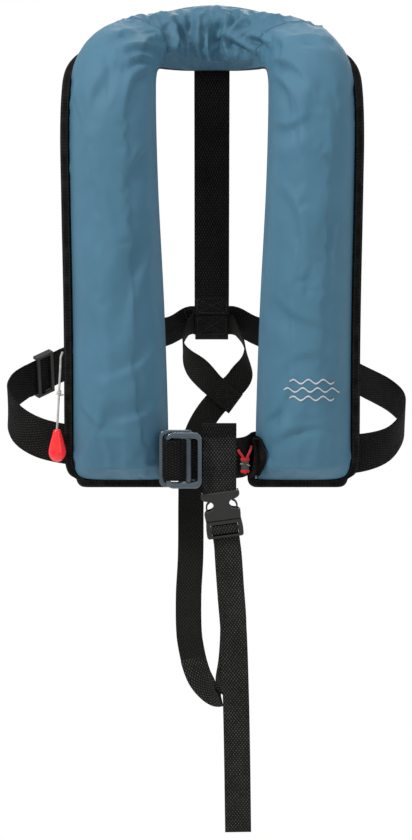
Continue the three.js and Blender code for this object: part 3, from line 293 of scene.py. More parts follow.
def smooth_line(points, shares):
    """Points of a centripetal Catmull-Rom curve at shares of its length in control points."""
    p = np.asarray(points, float)
    p = np.vstack([2 * p[0] - p[1], p, 2 * p[-1] - p[-2]])
    place = np.clip(np.asarray(shares, float), 0, 1) * (len(p) - 3)
    i = np.minimum(place.astype(int), len(p) - 4)
    w = (place - i)[:, None]
    a, b, c, d = p[i], p[i + 1], p[i + 2], p[i + 3]
    near, here, far = (
        np.sqrt(np.linalg.norm(q - r, axis=1, keepdims=True)) for q, r in ((b, a), (c, b), (d, c))
    )
    here = np.where(here < 1e-4, 1.0, here)
    near = np.where(near < 1e-4, here, near)
    far = np.where(far < 1e-4, here, far)
    t1 = ((b - a) / near - (c - a) / (near + here) + (c - b) / here) * here
    t2 = ((c - b) / here - (d - b) / (here + far) + (d - c) / far) * here
    return b + t1 * w + (3 * (c - b) - 2 * t1 - t2) * w**2 + (2 * (b - c) + t1 + t2) * w**3


def tangents(points, shares):
    step = 1e-4
    ahead = smooth_line(points, np.minimum(np.asarray(shares) + step, 1))
    return unit(ahead - smooth_line(points, np.maximum(np.asarray(shares) - step, 0)))


def distances(line):
    """Distance of each point of a line from its start."""
    return np.concatenate([[0.0], np.cumsum(np.linalg.norm(np.diff(line, axis=0), axis=1))])


def horseshoe_edges():
    """Inner edge, outer edge and crown from the left lobe's bottom to the right lobe's."""
    flip = np.array((-1.0, 1.0, 1.0))
    rows = [(np.array(i, float), np.array(o, float), c) for i, o, c in SECTIONS]
    rows = [(i * flip, o * flip, c) for i, o, c in rows] + rows[-2::-1]
    inner, outer = (np.array([r[k] for r in rows]) for k in (0, 1))
    crown = np.array([(r[2], k, 0.0) for k, r in enumerate(rows)])
    return inner, outer, crown


INNER, OUTER, CROWN = horseshoe_edges()


class Sections:
    """The local frames of the horseshoe at a list of section numbers."""

    def __init__(self, numbers):
        share = np.asarray(numbers, float) / LAST
        self.inner = smooth_line(INNER, share)
        self.across = smooth_line(OUTER, share) - self.inner
        self.along = unit(tangents(INNER, share) + tangents(OUTER, share))
        self.out = unit(np.cross(self.along, self.across))
        self.width = np.linalg.norm(self.across, axis=1)
        self.crown = smooth_line(CROWN, share)[:, 0]

    def at(self, v, up):
        """A grid of points: v from the inner edge to the outer one, up the height above them."""
        v = np.broadcast_to(v, np.broadcast_shapes(np.shape(v), np.shape(up)))
        return (
            self.inner[:, None]
            + self.across[:, None] * v[..., None]
            + self.out[:, None] * np.broadcast_to(up, v.shape)[..., None]
        )


def crown_shape(v):
    return np.maximum(0, 1 - np.abs(2 * v - 1) ** 2.4) ** 0.55


def even_numbers(start, end, step):
    """Section numbers from start to end, about step apart along the middle of the horseshoe."""
    fine = np.linspace(start, end, 400)
    gone = distances(Sections(fine).at(np.array([[0.5]] * len(fine)), 0.0)[:, 0])
    count = max(2, round(gone[-1] / step) + 1)
    return np.interp(np.linspace(0, gone[-1], count), gone, fine)


# ---------------------------------------------------------------- meshes


def new_object(name, points, faces, lay=None):
    """A smooth mesh object from points in millimetres; lay holds each point's place on its cloth."""
    mesh = bpy.data.meshes.new(name)
    mesh.from_pydata((np.asarray(points, float).reshape(-1, 3) * MM).tolist(), [], faces)
    mesh.polygons.foreach_set("use_smooth", [True] * len(mesh.polygons))
    if lay is not None:
        spots = mesh.attributes.new("lay", "FLOAT_VECTOR", "POINT")
        spots.data.foreach_set("vector", np.asarray(lay, np.float32).reshape(-1))
    mesh.update()
    obj = bpy.data.objects.new(name, mesh)
    bpy.context.scene.collection.objects.link(obj)
    return obj


def skin_faces(rows, columns, looped=False, first=0):
    """Faces of a tube of closed rings, capped at both ends unless the rings themselves loop."""
    faces = []
    for i in range(rows if looped else rows - 1):
        a, b = first + i * columns, first + (i + 1) % rows * columns
        faces += [
            (a + j, a + (j + 1) % columns, b + (j + 1) % columns, b + j) for j in range(columns)
        ]
    if not looped:
        faces.append(tuple(first + j for j in reversed(range(columns))))
        faces.append(tuple(first + (rows - 1) * columns + j for j in range(columns)))
    return faces


def outward(obj):
    """Turns a closed mesh's faces outwards."""
    mesh = obj.data
    points = np.empty(len(mesh.vertices) * 3)
    mesh.vertices.foreach_get("co", points)
    points = points.reshape(-1, 3)
    mesh.calc_loop_triangles()
    corners = np.empty(len(mesh.loop_triangles) * 3, int)
    mesh.loop_triangles.foreach_get("vertices", corners)
    a, b, c = (points[corners.reshape(-1, 3)[:, k]] for k in range(3))
    if (a * np.cross(b, c)).sum() < 0:
        mesh.flip_normals()
    return obj


def skin(name, rings, lay=None, looped=False):
    rings = np.asarray(rings, float)
    return outward(new_object(name, rings, skin_faces(*rings.shape[:2], looped), lay))


def shell(name, front, back, lay=None, skip=None):
    """A closed sheet from two grids of points; skip marks the squares left out of it."""
    rows, columns = front.shape[:2]
    kept = np.ones((rows - 1, columns - 1), bool) if skip is None else ~skip
    at = lambda side, i, j: (side * rows + i) * columns + j
    faces, rims = [], {}
    for i, j in zip(*np.nonzero(kept)):
        ring = [(i, j), (i, j + 1), (i + 1, j + 1), (i + 1, j)]
        faces.append(tuple(at(0, *p) for p in ring))
        faces.append(tuple(at(1, *p) for p in reversed(ring)))
        for p, q in zip(ring, ring[1:] + ring[:1]):
            if rims.pop((q, p), None) is None:
                rims[(p, q)] = True
    faces += [(at(0, *q), at(0, *p), at(1, *p), at(1, *q)) for p, q in rims]
    used = sorted({k for f in faces for k in f})
    renumber = {k: n for n, k in enumerate(used)}
    points = np.concatenate([front.reshape(-1, 3), back.reshape(-1, 3)])[used]
    if lay is not None:
        lay = np.concatenate([lay.reshape(-1, 3)] * 2)[used]
    return outward(new_object(name, points, [tuple(renumber[k] for k in f) for f in faces], lay))


def subdivided(obj):
    rounder = obj.modifiers.new("smooth", "SUBSURF")
    rounder.levels = rounder.render_levels = 1
    return obj


def finished(obj, material, slot, *replaced, body=BODY):
    """Gives a piece its material and its body and hides the CAD nodes it stands for; the slot
    argument is not used.
    """
    obj.data.materials.clear()
    obj.data.materials.append(PALETTE[material])
    if body:
        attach(obj, body)
    if replaced:
        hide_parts(*replaced)
    return obj


def grain(points, scale, seed):
    """Smooth noise from -1 to 1 at points in millimetres."""
    shift = Vector((seed * 17.3, seed * 5.1, seed * 9.7))
    flat = np.asarray(points, float).reshape(-1, 3) / scale
    values = [noise.noise(Vector(p) + shift) for p in flat]
    return np.array(values).reshape(np.shape(points)[:-1])


def sampled(spots, gone, grid):
    """A run of points read at the distances spots, where gone holds the distance of each."""
    return np.stack([np.interp(spots, gone, grid[:, k]) for k in range(3)], 1)


def lay_of(grid, across, along):
    """The places on a cloth of a grid of points: across and along it, in millimetres."""
    lay = np.zeros(grid.shape)
    lay[..., 0] = across
    lay[..., 1] = along[:, None]
    return lay


# ---------------------------------------------------------------- straps, cords and stitches


class Strap:
    """The run of a flat strap: centres, ways across and faces, about step apart."""

    def __init__(self, points, across, width, thick, step=3.2):
        spans = np.linalg.norm(np.diff(np.asarray(points, float), axis=0), axis=1)
        shares = [0.0]
        for i, span in enumerate(spans):
            parts = max(3, math.ceil(span / step))
            shares += [(i + (k + 1) / parts) / len(spans) for k in range(parts)]
        self.centre = smooth_line(points, shares)
        self.along = tangents(points, shares)
        side = smooth_line(across, shares)
        self.side = unit(side - (side * self.along).sum(1, keepdims=True) * self.along)
        self.face = np.cross(self.along, self.side)
        self.gone = distances(self.centre)
        self.width = width
        self.thick = thick

    def spot(self, gone, off, up):
        """Points at distances gone along the strap, off from its middle and up from its centre."""
        gone = np.atleast_1d(np.asarray(gone, float))
        centre, side, face = (
            sampled(gone, self.gone, grid) for grid in (self.centre, self.side, self.face)
        )
        off, up = (np.broadcast_to(x, gone.shape)[:, None] for x in (off, up))
        return centre + unit(side) * off + unit(face) * up

    def solid(self, name, columns=11, ripple=0.12, seed=1):
        """A woven strap with rounded selvages and a slight ripple in each edge."""
        half, deep = self.width / 2, self.thick / 2
        inner = np.linspace(-half + 0.7, half - 0.7, columns)
        selvage = np.array([half - 0.15, half, half - 0.15])
        turn, flat = np.array([deep * 0.62, 0, -deep * 0.62]), np.full(columns, deep)
        off = np.concatenate([inner, selvage, inner[::-1], -selvage])
        up = np.concatenate([flat, turn, -flat, -turn])
        wave = ripple * grain(self.centre, 26, seed)
        edge = (np.abs(off) / half) ** 2
        lift = up[None] + wave[:, None] * edge[None]
        rings = (
            self.centre[:, None]
            + self.side[:, None] * off[None, :, None]
            + self.face[:, None] * lift[..., None]
        )
        lay = np.stack(
            np.broadcast_arrays(off[None], self.gone[:, None], np.sign(up)[None] * 1.0), axis=-1
        )
        return skin(name, rings, lay)


class Thread:
    """Gathers rows of stitches into one mesh."""

    # place along a stitch, thickness and height, as shares of its length and its radius
    STITCH = [
        (0.0, 0.35, -0.4), (0.12, 0.9, 0.2), (0.5, 1.0, 0.55), (0.88, 0.9, 0.2), (1.0, 0.35, -0.4),
    ]
    SIDES = 6

    def __init__(self, radius=0.42, length=2.6, pitch=3.6):
        self.radius, self.length, self.pitch = radius, length, pitch
        self.points, self.faces, self.lay = [], [], []

    def row(self, line, normals):
        """A row of stitches along a line, arching out along the normals."""
        line, normals = np.asarray(line, float), unit(np.asarray(normals, float))
        gone = distances(line)
        for start in np.arange(self.pitch / 2, gone[-1] - self.length, self.pitch):
            spots = start + np.array([s[0] for s in self.STITCH]) * self.length
            middle, up = sampled(spots, gone, line), unit(sampled(spots, gone, normals))
            way = unit(middle[-1] - middle[0])
            side = unit(np.cross(way, up))
            first = len(self.points)
            for k, (_, size, lift) in enumerate(self.STITCH):
                r = self.radius * size
                centre = middle[k] + up[k] * self.radius * lift
                for a in range(self.SIDES):
                    c, s = math.cos(a * math.pi / 3), math.sin(a * math.pi / 3)
                    self.points.append(centre + side[k] * r * c + up[k] * r * s)
                    self.lay.append((a * 0.4, spots[k], 0.0))
            self.faces += skin_faces(len(self.STITCH), self.SIDES, first=first)
        return self

    def box(self, strap, start, end, inset, up, crossed=True):
        """A square of stitches sewn through a strap, with its diagonals."""
        half = strap.width / 2 - inset
        corners = [(start, -half), (end, -half), (end, half), (start, half), (start, -half)]
        pairs = list(zip(corners, corners[1:]))
        if crossed:
            pairs += [(corners[0], corners[2]), (corners[1], corners[3])]
        for (g0, o0), (g1, o1) in pairs:
            share = np.linspace(0, 1, 12)
            gone, off = g0 + (g1 - g0) * share, o0 + (o1 - o0) * share
            line = strap.spot(gone, off, up)
            self.row(line, line - strap.spot(gone, off, 0.0))
        return self

    def solid(self, name):
        return outward(new_object(name, self.points, self.faces, self.lay))


def tube(name, points, radius, sides=12, step=0.8, lumps=0.0):
    """A round cord along a smooth line in millimetres; returns the object and its ring centres."""
    spans = np.linalg.norm(np.diff(np.asarray(points, float), axis=0), axis=1)
    count = max(8, round(spans.sum() / step))
    line = smooth_line(points, np.linspace(0, 1, count))
    way = unit(np.gradient(line, axis=0))
    side = np.cross(way[0], (0.3, 0.9, 0.2))
    rings, lay = [], []
    gone = distances(line)
    for k, centre in enumerate(line):
        side = unit(side - side.dot(way[k]) * way[k])
        up = np.cross(way[k], side)
        ring, spots = [], []
        for a in range(sides):
            angle = 2 * math.pi * a / sides
            r = radius * (1 + lumps * math.cos(4 * angle) * math.cos(gone[k] * 2.4))
            ring.append(centre + side * r * math.cos(angle) + up * r * math.sin(angle))
            spots.append((math.cos(angle) * radius, math.sin(angle) * radius, gone[k]))
        rings.append(ring)
        lay.append(spots)
    return skin(name, rings, lay), line


def lathe(name, profile, place, sides=48, steps=5):
    """A turned piece about a vertical line, from [radius, height] points, with a smooth outline."""
    flat = [(r, 0.0, z) for r, z in profile]
    line = smooth_line(flat, np.linspace(0, 1, (len(profile) - 1) * steps + 1))
    angles = np.linspace(0, 2 * math.pi, sides, endpoint=False)
    turn = np.stack([np.cos(angles), np.sin(angles)], 1)
    radii = np.maximum(line[:, 0], 0.02)
    rings = np.concatenate(
        [radii[:, None, None] * turn[None], np.repeat(line[:, None, 2:], sides, axis=1)], axis=2
    )
    return skin(name, rings + np.array(place))


# ---------------------------------------------------------------- materials


class Finish:
    """A material being built: its node tree, its shader and short ways to add nodes."""

    def __init__(self, name, roughness, metallic=0.0, **sockets):
        self.material = bpy.data.materials.new(name)
        self.material.use_nodes = True
        self.tree = self.material.node_tree
        self.tree.nodes.clear()
        self.shader = self.node("ShaderNodeBsdfPrincipled")
        self.shader.inputs["Roughness"].default_value = roughness
        self.shader.inputs["Metallic"].default_value = metallic
        for socket, value in sockets.items():
            self.shader.inputs[socket.replace("_", " ")].default_value = value
        out = self.node("ShaderNodeOutputMaterial")
        self.link(self.shader.outputs["BSDF"], out.inputs["Surface"])

    def node(self, kind, **settings):
        made = self.tree.nodes.new(kind)
        for key, value in settings.items():
            setattr(made, key, value)
        return made

    def link(self, a, b):
        self.tree.links.new(a, b)

    def put(self, value, socket):
        if isinstance(value, (int, float)):
            socket.default_value = value
        else:
            self.link(value, socket)

    def math(self, operation, a, b=0.0):
        made = self.node("ShaderNodeMath", operation=operation)
        self.put(a, made.inputs[0])
        self.put(b, made.inputs[1])
        return made.outputs[0]

    def wave(self, value, period):
        """A sine from -1 to 1 with a period in the value's own unit."""
        return self.math("SINE", self.math("MULTIPLY", value, 2 * math.pi / period))

    def lay(self):
        """Place on the cloth: across, along and side, in millimetres."""
        spots = self.node("ShaderNodeAttribute", attribute_name="lay")
        parts = self.node("ShaderNodeSeparateXYZ")
        self.link(spots.outputs["Vector"], parts.inputs[0])
        return parts.outputs

    def noise(self, scale, detail=3.0, stretch=None):
        """Noise over the piece's own space, scale in features per metre."""
        spots = self.node("ShaderNodeTexCoord").outputs["Object"]
        if stretch:
            mapped = self.node("ShaderNodeMapping")
            mapped.inputs["Scale"].default_value = stretch
            self.link(spots, mapped.inputs["Vector"])
            spots = mapped.outputs["Vector"]
        made = self.node("ShaderNodeTexNoise")
        made.inputs["Scale"].default_value = scale
        made.inputs["Detail"].default_value = detail
        self.link(spots, made.inputs["Vector"])
        return made.outputs["Fac"]

    def ranged(self, value, low, high, to_low, to_high):
        made = self.node("ShaderNodeMapRange")
        self.link(value, made.inputs["Value"])
        sockets = {"From Min": low, "From Max": high, "To Min": to_low, "To Max": to_high}
        for socket, number in sockets.items():
            made.inputs[socket].default_value = number
        return made.outputs["Result"]

    def colours(self, value, *stops):
        """Base colour from a value, by colour stops (place, linear colour)."""
        ramp = self.node("ShaderNodeValToRGB")
        while len(ramp.color_ramp.elements) < len(stops):
            ramp.color_ramp.elements.new(0.5)
        for element, (place, colour) in zip(ramp.color_ramp.elements, stops):
            element.position = place
            element.color = (*colour, 1.0)
        self.link(value, ramp.inputs["Fac"])
        self.link(ramp.outputs["Color"], self.shader.inputs["Base Color"])
        return self

    def rough(self, value, low, high):
        self.link(self.ranged(value, 0.3, 0.7, low, high), self.shader.inputs["Roughness"])
        return self

    def bump(self, *layers):
        """Bump from (height, strength, depth in millimetres) layers, one on another."""
        last = None
        for height, strength, depth in layers:
            made = self.node("ShaderNodeBump")
            made.inputs["Strength"].default_value = strength
            made.inputs["Distance"].default_value = depth * MM
            self.link(height, made.inputs["Height"])
            if last:
                self.link(last, made.inputs["Normal"])
            last = made.outputs["Normal"]
        self.link(last, self.shader.inputs["Normal"])
        return self


def shade(colour, factor):
    return tuple(min(1.0, c * factor) for c in colour)


def cloth_finish(name, colour, thread, roughness, sheen, weave_strength=0.35, clouds=0.07):
    """Plain-woven cloth: threads both ways, faint clouds of colour and soft crumpling."""
    f = Finish(name, roughness, Sheen_Weight=sheen, Sheen_Roughness=0.4, Specular_IOR_Level=0.22)
    across, along, _ = f.lay()
    warp, weft = f.wave(across, thread), f.wave(along, thread)
    weave = f.math("MULTIPLY", warp, weft)
    cloud = f.noise(14, 4.0)
    mixed = f.math("ADD", f.math("MULTIPLY", weave, 0.06), cloud)
    f.colours(
        mixed,
        (0.3, shade(colour, 1 - clouds)),
        (0.5, colour),
        (0.72, shade(colour, 1 + clouds)),
    )
    f.rough(f.noise(60, 3.0), roughness - 0.05, roughness + 0.07)
    f.bump((f.noise(240, 4.0), 0.12, 0.4), (weave, weave_strength, 0.12))
    return f.material


def webbing_finish(name, colour, pattern, light, roughness=0.7):
    """Woven webbing: light yarns over dark ones, in a 'plain' checker or in 'rows'."""
    f = Finish(name, roughness, Sheen_Weight=0.0, Specular_IOR_Level=0.12)
    across, along, _ = f.lay()
    if pattern == "rows":
        left, right = f.wave(across, 3.0), f.wave(along, 6.4)
    else:
        left, right = f.wave(across, 3.4), f.wave(along, 4.6)
    woven = f.math("MULTIPLY", left, right)
    pick = f.wave(along, 1.1)
    light_yarn = f.ranged(woven, -0.5, 0.9, 0.0, 1.0)
    speck = f.math("MULTIPLY", light_yarn, f.ranged(f.noise(700, 2.0), 0.3, 0.6, 0.5, 1.0))
    tone = f.math("ADD", f.math("MULTIPLY", speck, 0.62), f.math("MULTIPLY", f.noise(45, 3.0), 0.3))
    f.colours(tone, (0.1, shade(colour, 0.5)), (0.4, colour), (0.85, shade(colour, light)))
    f.rough(f.noise(90, 2.0), roughness - 0.08, roughness + 0.1)
    f.bump((f.noise(300, 3.0), 0.15, 0.3), (pick, 0.4, 0.15), (woven, 0.6, 0.4))
    return f.material


def tape_finish(name, colour, pitch=1.5):
    """Grosgrain tape, ribbed across its run, with faint clouds of tone."""
    f = Finish(name, 0.75, Sheen_Weight=0.0, Specular_IOR_Level=0.12)
    _, along, _ = f.lay()
    ribs = f.wave(along, pitch)
    tone = f.math("ADD", f.math("MULTIPLY", ribs, 0.2), f.noise(70, 4.0))
    f.colours(tone, (0.3, shade(colour, 0.6)), (0.56, colour), (0.8, shade(colour, 3.4)))
    f.bump((f.noise(160, 4.0), 0.4, 0.8), (ribs, 0.8, 0.4))
    return f.material


def braid_finish(name, colour, radius):
    """Braided cord: two sets of strands winding against each other."""
    f = Finish(name, 0.7, Sheen_Weight=0.2, Sheen_Roughness=0.5, Specular_IOR_Level=0.3)
    x, y, along = f.lay()
    angle = f.math("MULTIPLY", f.math("ARCTAN2", y, x), radius)
    turn = 2 * math.pi * radius / 4
    left = f.wave(f.math("ADD", angle, along), turn)
    right = f.wave(f.math("SUBTRACT", angle, along), turn)
    strands = f.math("MULTIPLY", left, right)
    tone = f.math("ADD", f.math("MULTIPLY", strands, 0.25), f.noise(120, 3.0))
    f.colours(tone, (0.2, shade(colour, 0.6)), (0.5, colour), (0.8, shade(colour, 1.2)))
    f.bump((f.noise(900, 3.0), 0.2, 0.1), (strands, 0.9, 0.3))
    return f.material


def plastic_finish(name, colour, roughness, grain_scale=900, coat=0.0, spread=0.12, painted_glow=0.0):
    """Moulded plastic with a fine spark-eroded grain and slight handling marks, and a painted glow:
    emission in its own colour that brightens it as no lamp does.
    """
    f = Finish(name, roughness, Specular_IOR_Level=0.5, Coat_Weight=coat, Coat_Roughness=0.08)
    f.colours(
        f.noise(35, 4.0),
        (0.3, shade(colour, 1 - spread)),
        (0.5, colour),
        (0.75, shade(colour, 1 + spread)),
    )
    # painted glow: emission in the plastic's own colour, light that no lamp in the scene gives
    f.shader.inputs["Emission Color"].default_value = (*colour, 1.0)
    f.shader.inputs["Emission Strength"].default_value = painted_glow
    f.rough(f.noise(120, 5.0), roughness - 0.07, roughness + 0.12)
    f.bump((f.noise(grain_scale, 3.0), 0.18, 0.15))
    return f.material


def steel_finish(name, colour, roughness, brushed=(1.0, 1.0, 14.0)):
    """Stainless steel, faintly brushed along one way, with rubbed patches."""
    f = Finish(name, roughness, 1.0, Anisotropic=0.3)
    lines = f.noise(260, 5.0, brushed)
    patches = f.noise(40, 4.0)
    f.colours(patches, (0.3, shade(colour, 0.8)), (0.5, colour), (0.75, shade(colour, 1.25)))
    f.rough(lines, roughness - 0.06, roughness + 0.12)
    f.bump((lines, 0.12, 0.05), (f.noise(1200, 2.0), 0.05, 0.05))
    return f.material


def pile_finish(name, colour):
    """The fuzzy face of hook and loop tape."""
    f = Finish(name, 0.95, Sheen_Weight=0.4, Sheen_Roughness=0.5, Specular_IOR_Level=0.2)
    fuzz = f.noise(1500, 4.0)
    f.colours(fuzz, (0.3, shade(colour, 0.5)), (0.55, colour), (0.8, shade(colour, 2.4)))
    f.bump((fuzz, 1.0, 0.8))
    return f.material


PALETTE = {}


# ---------------------------------------------------------------- settings


def colour_setting(name, what, default):
    return bpy.props.FloatVectorProperty(
        name=name, description=what, subtype="COLOR", size=3, default=default, min=0, max=1
    )


def length_setting(name, what, default, low=-5.0, high=10.0):
    return bpy.props.FloatProperty(
        name=name, description=what, unit="LENGTH", default=default, min=low, max=high
    )


class JacketCloth(bpy.types.PropertyGroup):
    cover: colour_setting("Cover", "Colour of the front covers", (0.093, 0.232, 0.335))
    collar: colour_setting("Collar", "Colour of the collar's cover", (0.085, 0.212, 0.306))
    lining: colour_setting("Lining", "Colour of the back panels", (0.02, 0.028, 0.036))
    binding: colour_setting("Binding", "Colour of the edge tape", (0.0105, 0.0095, 0.0085))
    swell: length_setting("Swell", "Most that the cover cloth may move as it fills", 0.002, 0, 0.02)
    left_slant: bpy.props.FloatProperty(
        name="Left seam", description="How far the left collar seam slants, in sections",
        default=0.45, min=0, max=2,
    )
    right_slant: bpy.props.FloatProperty(
        name="Right seam", description="How far the right collar seam slants, in sections",
        default=1.2, min=0, max=2,
    )
    grid: length_setting(
        "Cloth grid", "Distance between the cover cloth's points", 0.0052, 0.003, 0.01
    )


class JacketStraps(bpy.types.PropertyGroup):
    belt: colour_setting("Belt", "Colour of the waist belt", (0.0062, 0.0058, 0.0054))
    strap: colour_setting("Crotch strap", "Colour of the crotch strap", (0.0150, 0.0148, 0.0132))
    hanger: colour_setting("Hanger", "Colour of the hanger loop", (0.0140, 0.0137, 0.0130))
    belt_width: length_setting("Belt width", "Width of the waist belt", 0.045, 0.03, 0.05)
    back_width: length_setting("Back strap width", "Width of the back strap", 0.04, 0.03, 0.05)
    crotch_width: length_setting("Crotch strap width", "Width of the crotch strap", 0.029, 0.02, 0.04)
    hanger_width: length_setting("Hanger width", "Width of the hanger loop", 0.0366, 0.03, 0.04)


class JacketHardware(bpy.types.PropertyGroup):
    # darker and bluer than bare steel: this colour paints in the dark, bluish surroundings that the
    # buckle reflects, a painted reflection
    steel: colour_setting("Steel", "Colour of the buckle", (0.17, 0.205, 0.235))
    plastic: colour_setting("Clip", "Colour of the black plastic", (0.026, 0.026, 0.0235))
    handle: colour_setting("Handle", "Colour of the pull handle", (0.9, 0.016, 0.02))


class JacketStage(bpy.types.PropertyGroup):
    floor: colour_setting("Floor", "Colour of the floor", (0.92, 0.92, 0.92))
    drop: length_setting("Floor height", "Height of the floor", -1.4)
    floor_radius: length_setting("Floor radius", "Radius of the round floor", 1.3, 0.5, 5)
    distance: length_setting("Camera distance", "Distance of the camera", 2.8, 1, 10)
    elevation: bpy.props.FloatProperty(
        name="Camera elevation", description="How far the camera looks down", subtype="ANGLE",
        default=math.radians(10), min=0, max=1.5,
    )


# ---------------------------------------------------------------- stage


def look_at(obj, target):
    way = Vector(target) - obj.location
    obj.rotation_euler = way.to_track_quat("-Z", "Y").to_euler()


def make_stage(stage):
    """The camera, a pale floor and soft lights."""
    scene = bpy.context.scene
    scene.view_settings.view_transform = "Standard"
    seen_height = 0.9408  # height of the view at the jacket, in metres
    target = Vector((-0.0067, -0.08, -0.3855))
    e = stage.elevation
    camera = bpy.data.objects.new("camera", bpy.data.cameras.new("camera"))
    camera.location = target + Vector((0, -math.cos(e), math.sin(e))) * stage.distance
    camera.data.lens = camera.data.sensor_width * stage.distance / seen_height
    scene.collection.objects.link(camera)
    look_at(camera, target)
    scene.camera = camera

    rim = [(math.cos(a), math.sin(a), 0.0) for a in np.linspace(0, 2 * math.pi, 96, endpoint=False)]
    floor = new_object("floor", np.array(rim) * stage.floor_radius / MM, [tuple(range(len(rim)))])
    floor.location.z = stage.drop
    f = Finish("floor_paper", 0.8, Specular_IOR_Level=0.2)
    tone = tuple(stage.floor)
    f.colours(f.noise(1.5, 2.0), (0.3, shade(tone, 0.985)), (0.7, tone))
    floor.data.materials.append(f.material)

    world = bpy.data.worlds.new("studio")
    world.use_nodes = True
    tree = world.node_tree
    tree.nodes.clear()
    out = tree.nodes.new("ShaderNodeOutputWorld")
    white, soft = (tree.nodes.new("ShaderNodeBackground") for _ in range(2))
    white.inputs["Color"].default_value = (1, 1, 1, 1)
    soft.inputs["Color"].default_value = (0.97, 0.98, 1.0, 1)
    soft.inputs["Strength"].default_value = 0.5
    mixed = tree.nodes.new("ShaderNodeMixShader")
    rays = tree.nodes.new("ShaderNodeLightPath")
    tree.links.new(rays.outputs["Is Camera Ray"], mixed.inputs["Fac"])
    tree.links.new(soft.outputs[0], mixed.inputs[1])
    tree.links.new(white.outputs[0], mixed.inputs[2])
    tree.links.new(mixed.outputs[0], out.inputs["Surface"])
    scene.world = world

    lamps = [
        ("key_light", (-2.0, -1.7, 1.7), 0.7, 46),
        ("fill_light", (2.0, -1.8, 0.3), 1.6, 5),
        ("top_light", (0.1, -0.3, 1.9), 1.0, 7),
        ("back_light", (0.4, 2.4, 0.9), 1.8, 14),
    ]
    for name, place, size, power in lamps:
        lamp = bpy.data.lights.new(name, "AREA")
        lamp.shape, lamp.size, lamp.energy = "DISK", size, power
        obj = bpy.data.objects.new(name, lamp)
        obj.location = place
        scene.collection.objects.link(obj)
        look_at(obj, (0, -0.1, -0.25))


# ---------------------------------------------------------------- the pull cord and its handle


def make_pull_cord():
    """The free cord with its knot and the teardrop handle."""
    route = np.array(PULL_CORD) / MM
    cord, line = tube("pull_cord_braid", route, CORD_DIAMETER / 2 / MM, 14, 0.7, 0.05)
    finished(cord, "white_braid", "white_cord", "pull_cord", body=None)
    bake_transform(cord)

    centre = route[KNOT_POINT]
    loops = []
    for k in range(34):  # 2.3 turns of the cord, one under another
        a = k / 33
        turn = a * 2.3 * 2 * math.pi
        r = 1.75 + 0.35 * math.sin(turn * 1.5)
        loops.append((r * math.cos(turn), r * 0.85 * math.sin(turn), 2.4 - 4.8 * a))
    loops += [(3.4, -0.6, -2.2), (4.6, -0.9, -1.2)]
    knot, _ = tube("pull_cord_tied_knot", np.array(loops) + centre, 1.0, 10, 0.45, 0.05)
    finished(knot, "white_braid", "white_cord", "pull_cord_knot", body="handle")

    profile = [
        (0, -36), (2.2, -35.8), (4.6, -34.9), (7.2, -32.6), (9.0, -29.2), (9.7, -25.2), (9.2, -21),
        (7.9, -15.6), (6.3, -9.6), (5.0, -5), (4.4, -2.6), (3.9, -1.1), (3.2, -0.2), (2.1, -0.05),
        (1.6, -0.6), (0, -0.7),
    ]
    handle = lathe("pull_handle_drop", profile, HANDLE_TOP, 56, 4)
    finished(handle, "red_gloss", "red_plastic", "pull_handle", body="handle")


def make_inner_cords():
    """The cord inside the left lobe, the whistle's lanyard and the soft loop on the belt."""
    rows = [
        ("inner_cord_braid", INNER_CORD, 1.2, "white_braid", "white_cord", "inner_cord"),
        ("whistle_lanyard_braid", LANYARD, 1.0, "white_braid", "white_cord", "whistle_lanyard"),
        ("soft_loop_braid", SOFT_LOOP, 1.4, "red_braid", "red_cord", "soft_loop_cord"),
    ]
    for name, points, radius, material, slot, node in rows:
        cord, line = tube(name, points, radius, 12, 0.6, 0.05)
        finished(cord, material, slot, node)
        length = distances(line)[-1] * MM

    loop_x, loop_y = 36.0, -149.6
    centre = np.array((loop_x, loop_y, -429.6))
    rings, lay = [], []
    heights = np.linspace(0, 12.5, 44)
    angles = np.linspace(0, 2 * math.pi, 40, endpoint=False)
    outline = np.stack([4.2 * np.cos(angles), 3.0 * np.sin(angles)], 1)
    for z in heights:
        swell = 1 + 0.035 * np.cos(angles * 12)[:, None] - 0.05 * (abs(z - 6.25) / 6.25) ** 6
        rings.append(np.column_stack([outline * swell, np.full(len(angles), z)]))
    for z in heights[::-2]:
        rings.append(np.column_stack([outline * (0.83, 0.7), np.full(len(angles), z)]))
    sleeve = skin("soft_loop_shrunk_sleeve", np.array(rings) + centre, looped=True)
    finished(sleeve, "grey_plastic", "black_plastic", "soft_loop_sleeve")
    for word, low, high in (("upper", 11.2, 14.4), ("lower", -2.0, 1.2)):
        heights = np.linspace(low, high, 9)
        middle, full = (low + high) / 2, np.full(len(angles), 1.0)
        fat = 1.04 + 0.12 * np.sqrt(np.clip(1 - ((heights - middle) / (high - low) * 2) ** 2, 0, 1))
        band = [np.column_stack([outline * k, full * z]) for k, z in zip(fat, heights)]
        band += [np.column_stack([outline * 0.9, full * z]) for z in heights[::-4]]
        wound = skin(f"soft_loop_{word}_band", np.array(band) + centre, looped=True)
        finished(wound, "red_braid", "red_cord")

    whipping = []
    for i in range(33):
        a = i / 32 * 1.72 * math.pi + 0.64 * math.pi
        x, y = loop_x + 5.1 * math.cos(a), loop_y - 3.9 * math.sin(a)
        whipping.append((x, y, -423 + 1.6 * math.cos(a - 2.2)))
    thread, _ = tube("soft_loop_whipping", whipping, 0.42, 8, 0.35)
    finished(thread, "white_braid", "white_cord", "soft_loop_thread")


# ---------------------------------------------------------------- covers


